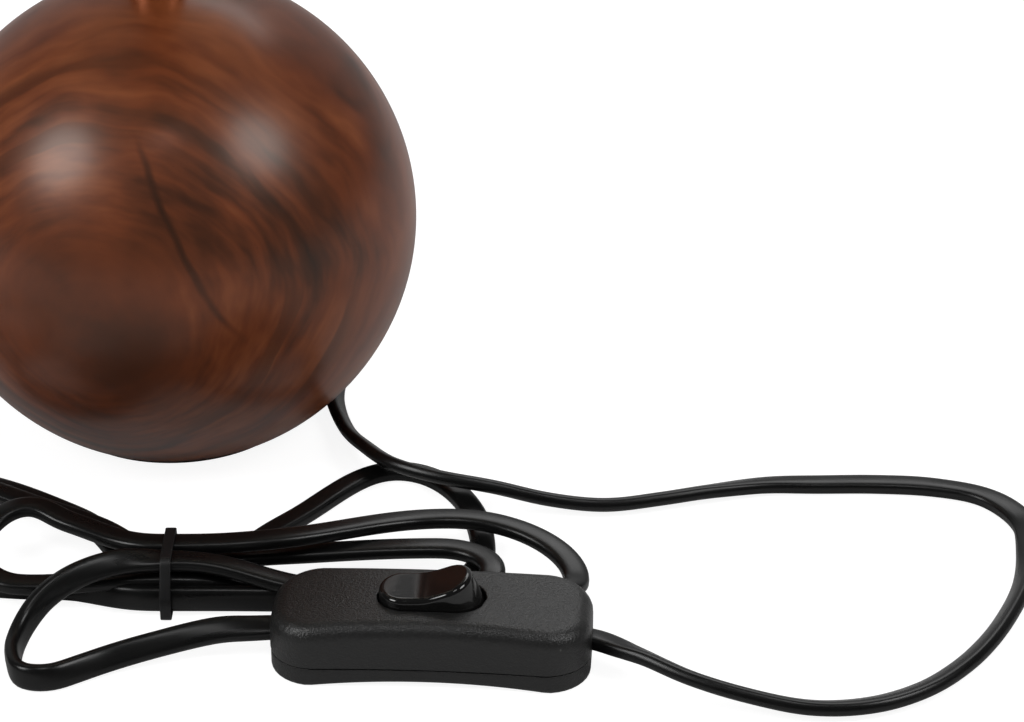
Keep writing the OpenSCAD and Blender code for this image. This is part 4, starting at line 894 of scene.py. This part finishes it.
# Rocker, drawn level about its pivot: rings of a stadium whose ends lean in by the tilt above and
# below, up to a top that dips in the middle, top(x) = dip + tan(tilt) * (sqrt(x^2 + valley^2) - drop),
# with a round rim, closed along its middle line. Then it is turned by the tilt.
def makeRocker():
    rise = math.tan(math.radians(rocker["tilt"]))
    long, wide = switch["slotLength"] / 2 - rocker["gap"], switch["slotWidth"] / 2 - rocker["gap"]

    def topAt(x):
        return rocker["dip"] + rise * (np.sqrt(x ** 2 + rocker["valley"] ** 2) - rocker["drop"])

    def ring(inset, level):
        flat = stadium(long - inset, wide - inset, 26, 34)
        lean = flat[:, 0] / long * np.abs(level(flat[:, 0])) * rise
        x = flat[:, 0] / math.cos(math.radians(rocker["tilt"])) - lean
        return np.stack([x, flat[:, 1], level(x)], -1)

    def levelRing(inset, z):
        return ring(inset, lambda x: x * 0 + z)

    rim, wall, middle = rocker["rim"], rocker["wall"], wide - rocker["line"]
    low, edge = -rocker["skirt"], rocker["edge"]
    rows = [levelRing(middle, rocker["hollow"]), levelRing(wall, rocker["hollow"]), levelRing(wall, low),
            levelRing(edge, low), levelRing(0, low + edge)]
    rows += [ring(0, lambda x, t=t: low + edge + (topAt(x) - rim - low - edge) * t)
             for t in (.25, .5, .75, 1)]
    rows += [ring(inset, lambda x, drop=drop: topAt(x) - drop) for inset, drop in quarterRound(rim, 10, 9)]
    rows += [ring(rim + (wide - rim) * t, topAt) for t in (.03, .2, .4, .6, .8, .92)]
    rows += [ring(middle, topAt)]
    grid = np.array(rows)
    a = math.radians(rocker["tilt"])
    x = grid[..., 0] * math.cos(a) - grid[..., 2] * math.sin(a)
    z = grid[..., 0] * math.sin(a) + grid[..., 2] * math.cos(a) + rocker["height"]
    return crease(weld(surface("switchRocker", inSwitch(np.stack([x, grid[..., 1], z], -1)))), 50)


switchRocker = wear(makeRocker(), "rocker plastic", ["switch_rocker"], "rocker")
print("switch made")


# Ball: the turned profile of its outside, foot, weight recess, chamber, stem hole and neck seat
ball = {"radius": .054, "foot": .0275, "bottom": .0013, "middle": .04777, "neck": .00705,
        "neckSeat": .0983, "chamber": .016, "chamberTop": .0277, "weight": .02385, "weightTop": .0077,
        "stem": .0053, "seatY": .03503, "exitZ": .013, "seat": .00615, "bore": .004,
        "ends": (.02, .008)}     # radians of the arc given up to the rounded edges of foot and neck
felt = {"radius": .026, "thickness": .0013, "round": .0003}
core = .0001     # radius at which a turned profile leaves the axis


def makeBall():
    b = ball
    low = math.asin((b["bottom"] - b["middle"]) / b["radius"])
    high = math.acos(b["neck"] / b["radius"])
    a = np.linspace(low + b["ends"][0], high - b["ends"][1], 150)
    outside = np.stack([b["radius"] * np.cos(a), b["middle"] + b["radius"] * np.sin(a)], -1)
    foot = rounded([(b["weight"], b["bottom"]), (b["foot"], b["bottom"]), tuple(outside[0])], .0009, 6, False)
    lip = rounded([tuple(outside[-1]), (b["neck"], b["middle"] + b["radius"] * math.sin(high)),
                   (b["neck"], b["neckSeat"])], .0003, 5, False)
    inside = [(b["stem"], b["neckSeat"]), (b["stem"], b["chamberTop"]), (b["chamber"], b["chamberTop"]),
              (b["chamber"], b["weightTop"]), (b["weight"], b["weightTop"])]
    profile = np.concatenate([foot[:-1], outside, lip[1:], inside])
    body = turned("ballBody", profile, steps=224)
    hole = turned("bushSeat", [(b["seat"], b["seatY"]), (b["seat"], .07)], (0, 0, b["exitZ"]), "y", 64, False)
    bore = turned("bushBore", [(b["bore"], 0), (b["bore"], .05)], (0, 0, b["exitZ"]), "y", 48, False)
    return cutAway(body, [hole, bore], 30)


ballBody = wear(makeBall(), "ball wood", ["ball_base"])

feltCorners = [(core, 0), (felt["radius"], 0), (felt["radius"], felt["thickness"]),
               (core, felt["thickness"])]
feltPad = turned("feltPad", rounded(feltCorners, (0, felt["round"], felt["round"], 0)))
wear(weld(feltPad), "black felt", ["felt_pad"])


# Bush: a flange in the ball and a long tapered tail with staggered slots on two sides
bush = {"stem": .0039, "inner": .017, "flange": .006, "flangeThick": .002, "wide": .0047, "narrow": .0037,
        "length": .024, "slots": (.0054, .0046, 4, .002, .0011)}     # first, pitch, count, width, depth


# Radius less a smooth groove wherever the height falls in one of the slots, on two of its sides
def grooved(start, slots):
    first, pitch, count, width, depth = slots

    def ripple(radius, height, angle):
        inSlot = np.zeros_like(radius)
        for k in range(count):
            away = np.abs(height - (start + first) - k * pitch)
            inSlot = np.maximum(inSlot, np.clip(1 - away / (width / 2), 0, 1))
        side = np.clip((np.abs(np.sin(angle)) - .35) * 3, 0, 1)
        return radius - depth * np.clip(inSlot * 4, 0, 1) * side
    return ripple


def makeBush():
    y0 = ball["seatY"]
    tail = y0 + bush["flangeThick"]
    flange = rounded([(core, bush["inner"]), (bush["stem"], bush["inner"]), (bush["stem"], y0),
                      (bush["flange"], y0), (bush["flange"], tail), (bush["wide"], tail)], .0004, 5, False)
    h = np.linspace(tail + .0002, tail + bush["length"] - .0006, 120)
    r = bush["wide"] + (bush["narrow"] - bush["wide"]) * (h - tail) / bush["length"]
    tip = tail + bush["length"]
    end = [(bush["narrow"] - .0001, tip - .0003), (bush["narrow"] - .0004, tip), (core, tip)]
    profile = np.concatenate([flange, np.stack([r, h], -1), end])
    return turned("cordBush", profile, (0, 0, ball["exitZ"]), "y", 64, False, grooved(tail, bush["slots"]))


wear(crease(makeBush(), 45), "black rubber", ["cord_bush"])
print("ball and bush made")

# Neck and lampholder, each a turned profile of (radius, height)
neck = {"radius": .007, "bore": .0053, "low": .0983, "top": .166}
holder = {"cap": .1672, "sleeve": .1872, "sleeveHeight": .027, "shell": .1892, "ring": .1923}
sleeveThread = {"pitch": .0025, "depth": .0004}
shellThread = {"pitch": .00282, "depth": .00035}
ribbing = {"count": 24, "depth": .0008}


def ringed(corners, reach, name):
    return crease(turned(name, held(rounded(corners, reach))), 40)


tube = ringed([(neck["bore"], neck["low"]), (neck["radius"], neck["low"]), (neck["radius"], neck["top"]),
               (neck["bore"], neck["top"])], .0003, "neckTube")
wear(tube, "copper", ["neck_tube"])

cupHeights = neck["top"] + np.array([0, 0, .0026, .005, .012, .012, .0054, .0036, .0012, .0012])
cupRadii = (.0053, .008, .0145, .016, .016, .015, .015, .014, .008, .0053)
cupRounds = (.0003, .001, .003, .003, .0003, .0003, .002, .002, .001, .0003)
wear(ringed(list(zip(cupRadii, cupHeights)), cupRounds, "neckCup"), "copper", ["neck_cup"])

capRadii = (.00505, .007, .011, .013, .014, .014, .0124, .0124, .0104, .0104, .008, .008, .00505)
capHeights = holder["cap"] + np.array(
    [0, 0, .0028, .005, .008, .02, .02, .0138, .0138, .007, .0046, .009, .009])
wear(ringed(list(zip(capRadii, capHeights)), .0005, "holderCap"), "holder plastic", ["holder_cap"])


# Sleeve: a shoulder below and a round thread that climbs 2.5 mm a turn, as a wave on the radius:
# r + depth * (1 + cos(2 pi (z - start) / pitch - angle)) / 2 between its first and last turn
def makeSleeve():
    z, top = holder["sleeve"], holder["sleeve"] + holder["sleeveHeight"]
    start, end, root, fadeOver = z + .0052, top - .0018, .0135, .0012
    threads = np.linspace(start, end, 130)
    outer = np.concatenate([
        [(.0124, z), (.0157, z), (.016, z + .0003), (.016, z + .0022), (.0157, z + .0025),
         (.0138, z + .0025), (root, z + .0028)],
        np.stack([threads * 0 + root, threads], -1),
        [(root, top - .0006), (.0131, top), (.0078, top), (.0077, top - .0002), (.0077, z + .0234),
         (.0104, z + .0234), (.0104, z + .0033), (.0124, z + .0033)]])

    def thread(radius, height, angle):
        wave = .5 + .5 * np.cos(2 * np.pi * (height - z) / sleeveThread["pitch"] - angle)
        inside = (np.abs(radius - root) < 1e-6) & (height > start - .0002) & (height < end + .0003)
        fade = np.clip((height - start) / fadeOver, 0, 1) * np.clip((end - height) / fadeOver, 0, 1)
        return radius + inside * wave * fade * sleeveThread["depth"]
    return crease(turned("holderSleeve", outer, steps=120, ripple=thread), 45)


wear(makeSleeve(), "holder plastic", ["holder_sleeve"])


# Shade ring: grip ribs as a wave on the outer radius, r - depth * (1 - cos(24 angle))^2 / 4
def makeShadeRing():
    z = holder["ring"]
    corners = [(.01405, z), (.0187, z), (.019, z + .0004), (.019, z + .0066), (.0186, z + .007),
               (.01405, z + .007)]

    def ribs(radius, height, angle):
        outside = radius > .0184
        return radius - outside * ribbing["depth"] * ((1 - np.cos(ribbing["count"] * angle)) / 2) ** 2
    return crease(turned("shadeRing", held(rounded(corners, .0003, 4)), steps=384, ripple=ribs), 50)


wear(makeShadeRing(), "holder plastic", ["shade_ring"])


# Screw shell: rolled round thread of the small screw cap, a wave that climbs 2.82 mm a turn
def makeShell():
    z = holder["shell"]
    start, end, outer, inner, fadeOver = z + .004, z + .0207, .0074, .007, .001
    turns = np.linspace(z + .0042, z + .0206, 130)
    profile = np.concatenate([
        [(.0082, z), (.0094, z), (.0094, z + .0008), (.0082, z + .0008), (.0082, z + .0034),
         (.0076, z + .0038)],
        np.stack([turns * 0 + outer, turns], -1),
        [(outer, z + .021), (inner, z + .021)],
        np.stack([turns * 0 + inner, turns[::-1]], -1),
        [(inner, z + .0034), (.0078, z + .003)]])

    def roll(radius, height, angle):
        wave = .5 - .5 * np.cos(2 * np.pi * (height - z) / shellThread["pitch"] - angle)
        rolled = (height > start) & (height < end)
        fade = np.clip((height - start) / fadeOver, 0, 1) * np.clip((end - height) / fadeOver, 0, 1)
        return radius + rolled * wave * fade * shellThread["depth"]
    return crease(turned("screwShell", profile, ripple=roll), 60)


wear(makeShell(), "brass", ["screw_shell"])
print("neck and lampholder made")

# Shade: an open cone of cloth on film, its hems, and the wire frame that carries it
shade = {"low": .180, "top": .310, "lowRadius": .090, "topRadius": .065, "cloth": .0009, "hem": .008,
         "hemOut": .0006, "tape": .00055, "wire": .003, "arm": .0018, "hubZ": .190, "hubThick": .002,
         "hubOuter": .018, "hubInner": .0142, "gap": .0003}


def shadeRadius(z):
    share = (z - shade["low"]) / (shade["top"] - shade["low"])
    return shade["lowRadius"] + (shade["topRadius"] - shade["lowRadius"]) * share


def coneBand(name, low, high, out, thickness):
    z = np.linspace(low, high, 24)
    r = shadeRadius(z) + out
    ends = [(shadeRadius(edge) + out - thickness / 2, edge) for edge in (high, low)]
    profile = np.concatenate([np.stack([r, z], -1), ends[:1], np.stack([r - thickness, z], -1)[::-1],
                              ends[1:]])
    return crease(turned(name, profile, steps=192), 60)


low, high = shade["low"], shade["top"]
shadeCloth = coneBand("shadeCloth", low, high, 0, shade["cloth"])
wear(shadeCloth, "shade cloth", ["shade_cloth"], "shade")
hemEdges = {"lowerHem": (low, "shade_lower_hem"), "upperHem": (high - shade["hem"], "shade_upper_hem")}
for name, (edge, node) in hemEdges.items():
    band = coneBand(name, edge, edge + shade["hem"], shade["hemOut"], shade["tape"])
    wear(band, "hem tape", [node], "shade")


# Points of a circle of this radius
def circle(radius, steps):
    return np.stack([np.cos(bearings(steps)), np.sin(bearings(steps))], -1) * radius


# Radius of the frame's rings at a height: the cloth's, less its thickness, a gap and half the wire
def ringRadius(z):
    return shadeRadius(z) - (shade["cloth"] + shade["wire"] / 2 + shade["gap"])


inEdge = shade["wire"] / 2 + .001
wires = {"lowWire": (low + inEdge, "shade_carrier"), "topWire": (high - inEdge, "shade_top_ring")}
for name, (z, node) in wires.items():
    ring = turned(name, circle(shade["wire"] / 2, 18) + [ringRadius(z), z], steps=128)
    wear(ring, "shade wire", [node], "shade")
hubLow, hubTop, hubEdge = shade["hubZ"], shade["hubZ"] + shade["hubThick"], shade["hubOuter"] - .001
wear(ringed([(shade["hubInner"], hubLow), (shade["hubOuter"], hubLow), (shade["hubOuter"], hubTop),
             (shade["hubInner"], hubTop)], .0004, "shadeHub"), "shade wire", ["shade_carrier"], "shade")
armStart, armEnd = (hubEdge, (hubLow + hubTop) / 2), (ringRadius(low + inEdge), low + inEdge)
for k, bearing in enumerate(np.radians([90, 210, 330])):
    r, z = (a + (b - a) * np.linspace(0, 1, 20) for a, b in zip(armStart, armEnd))
    path = np.stack([r * math.cos(bearing), r * math.sin(bearing), z], -1)
    arm = swept("shadeArm%d" % (k + 1), path, circle(shade["arm"] / 2, 14))
    wear(arm, "shade wire", ["shade_carrier"], "shade")
print("shade made")

# Plug: stadium sections that widen along +Y, a round front edge, sleeved pins and a slotted tail
plugRows = {"y": (0, .0004, .008, .016, .024, .028, .0350, .0357, .036),
            "half": (.0066, .0070, .0102, .0134, .0161, .0175, .0175, .0173, .0169),
            "thick": (.0048, .0052, .0057, .0063, .00685, .00685, .00685, .0066, .0063)}


def makePlugBody():
    y = np.concatenate([np.linspace(0, .028, 40), np.linspace(.0285, .036, 24)])
    half, thick = (np.interp(y, plugRows["y"], plugRows[key]) for key in ("half", "thick"))
    rings = [stadium(h, t, 18, 6) for h, t in zip(half, thick)]
    line = 1e-7     # half width of the flat ring that closes an end
    ends = [stadium(half[e] - thick[e] + line, line, 18, 6) for e in (0, -1)]
    rings = ends[:1] + rings + ends[1:]
    along = np.concatenate([[y[0]], y, [y[-1]]])
    grid = np.stack([np.stack([plug["x"] + ring[:, 0], np.full(len(ring), plug["y"] + s),
                               plug["z"] + ring[:, 1]], -1) for ring, s in zip(rings, along)])
    return crease(weld(surface("plugBody", grid)), 40)


plugBody = wear(makePlugBody(), "plug plastic", ["plug_body"])
plugPieces = [plugBody]
front = plug["y"] + plug["length"]
for side, s in (("Left", -1), ("Right", 1)):
    at = (plug["x"] + s * plug["pinGap"] / 2, 0, plug["z"])
    root, top, bare, tip = front - .001, front + plug["sleeve"], plug["pin"] / 2, front + plug["pinLength"]
    sleeve = rounded([(core, root), (.0018, root), (.0018, top), (core, top)], (0, 0, .0003, 0), 5, False)
    pin = rounded([(core, top + .00005), (bare, top + .00005), (bare, tip - .001), (.0013, tip),
                   (core, tip)], (0, .0002, .0006, .0005, 0), 6, False)
    sleeved = crease(turned("pinSleeve" + side, sleeve, at, "y", 48, False))
    pinned = crease(turned("pin" + side, pin, at, "y", 48, False))
    plugPieces.append(wear(sleeved, "plug plastic", ["plug_body"]))
    plugPieces.append(wear(pinned, "plug brass", ["plug_pins"]))


def makeRelief():
    start = plug["y"] - plug["relief"]
    h = np.linspace(start + .0004, plug["y"], 110)
    r = plug["reliefEnd"] + plug["reliefGrow"] * (h - start) / plug["relief"]
    profile = np.concatenate([[(core, start), (.0033, start)], np.stack([r, h], -1), [(core, plug["y"])]])
    ripple = grooved(start, plug["slots"])
    return crease(turned("plugRelief", profile, (plug["x"], 0, plug["z"]), "y", 64, False, ripple), 45)


plugPieces.append(wear(makeRelief(), "plug plastic", ["plug_relief"]))
print("plug made")

# The solids that stay as they are, each with its finish
kept = {
    "platedSteel": ["weight_screws", "stem_tube", "stem_washer", "terminal_screws", "contact_screws",
                    "clamp_screws", "case_screws"],
    "weightSteel": ["base_weight"], "leadSheath": ["inner_lead"], "holderCeramic": ["holder_insert"],
    "holderBrass": ["stem_nut", "holder_terminals", "centre_contact", "rocker_plunger", "rocking_contact",
                    "contact_posts", "neutral_link"],
    "switchShell": ["cord_clamps"], "coreCopper": ["switch_cores"],
}
for finish, nodes in kept.items():
    for node in nodes:
        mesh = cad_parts[node].data
        mesh.materials.clear()
        mesh.materials.append(finishes[finish])

# Every so many points of a lead's middle line, and its last
def thinned(line, every):
    return line[::every].tolist() + [line[-1].tolist()]


round(lengthOf(lampLine), 3)
thinned(lampLine, 4)
tuple(inSwitch([-socketX, 0, leadZ]))
round(lengthOf(bundleLine), 3)
thinned(bundleLine, 3)
[hankTie] + plugPieces


# Room. To the camera the floor and the world look white, with the object's shadow left in the floor.
# The light that the world gives is dimmer, and what shines in the gloss dimmer still, most in front.
room = {"floor": .5, "veil": .5, "glow": 1.8, "ambient": .37, "front": .05, "back": .3,
        "turn": (-.4, -.85)}     # where the gloss goes from front to back, along Y of the ray
lamps = [
    {"name": "rightLamp", "from": (.673, -.295, .678), "away": 1.15, "size": .48, "power": 4.1},
    {"name": "leftLamp", "from": (-.660, -.421, .622), "away": 1.15, "size": .52, "power": 5.7},
    {"name": "behind", "from": (.14, .62, .77), "away": 1.5, "size": 1, "power": 6},
    {"name": "overhead", "from": (.05, -.42, .9), "away": 1.5, "size": .4, "power": 1.9},
]


def makeFloor():
    reach = np.linspace(-6, 6, 13)
    x, y = np.meshgrid(reach, reach)
    floor = surface("floor", np.stack([x, y, x * 0], -1), around=False)
    paper = bpy.data.materials.new("floorPaper")
    paper.use_nodes = True
    tree = paper.node_tree
    tree.nodes.clear()
    path = addNode(tree, "ShaderNodeLightPath")
    veil = addNode(tree, "ShaderNodeMath", {"operation": "MULTIPLY"},
                   {0: path.outputs["Is Camera Ray"], 1: room["veil"]})
    matt = addNode(tree, "ShaderNodeBsdfDiffuse", {}, {"Color": (room["floor"],) * 3 + (1,)})
    glow = addNode(tree, "ShaderNodeEmission", {}, {"Strength": room["glow"]})
    mix = addNode(tree, "ShaderNodeMixShader", {},
                  {0: veil.outputs[0], 1: matt.outputs[0], 2: glow.outputs[0]})
    addNode(tree, "ShaderNodeOutputMaterial", {}, {"Surface": mix.outputs[0]})
    floor.data.materials.append(paper)


def makeWorld():
    world = bpy.data.worlds.new("room")
    bpy.context.scene.world = world
    world.use_nodes = True
    tree = world.node_tree
    path, ray = addNode(tree, "ShaderNodeLightPath"), addNode(tree, "ShaderNodeNewGeometry")
    parts = addNode(tree, "ShaderNodeSeparateXYZ", {}, {0: ray.outputs["Incoming"]})
    wall = addNode(tree, "ShaderNodeMapRange", {"interpolation_type": "SMOOTHSTEP"}, {
        "Value": parts.outputs["Y"], "From Min": room["turn"][0], "From Max": room["turn"][1],
        "To Min": room["front"], "To Max": room["back"]})
    glossy = addNode(tree, "ShaderNodeMapRange", {}, {
        "Value": path.outputs["Is Glossy Ray"], "To Min": room["ambient"], "To Max": wall.outputs[0]})
    straight = addNode(tree, "ShaderNodeMath", {"operation": "MAXIMUM"}, {
        0: path.outputs["Is Camera Ray"], 1: path.outputs["Is Transmission Ray"]})
    level = addNode(tree, "ShaderNodeMapRange", {}, {
        "Value": straight.outputs[0], "To Min": glossy.outputs[0], "To Max": 1})
    back = tree.nodes["Background"]
    back.inputs["Color"].default_value = (1, 1, 1, 1)
    tree.links.new(level.outputs[0], back.inputs["Strength"])


def makeLamp(setup):
    light = bpy.data.lights.new(setup["name"], "AREA")
    light.shape = "DISK"
    light.size = setup["size"]
    light.energy = setup["power"]
    lamp = addObject(setup["name"], light)
    towards = np.array(setup["from"]) / np.linalg.norm(setup["from"])
    lamp.location = (towards * setup["away"] + np.array([0, 0, .05])).tolist()
    x, y, z = towards
    lamp.rotation_euler = (math.acos(z), 0, math.atan2(y, x) + math.pi / 2)


makeFloor()
makeWorld()
for setup in lamps:
    makeLamp(setup)
print("room and lamps made")
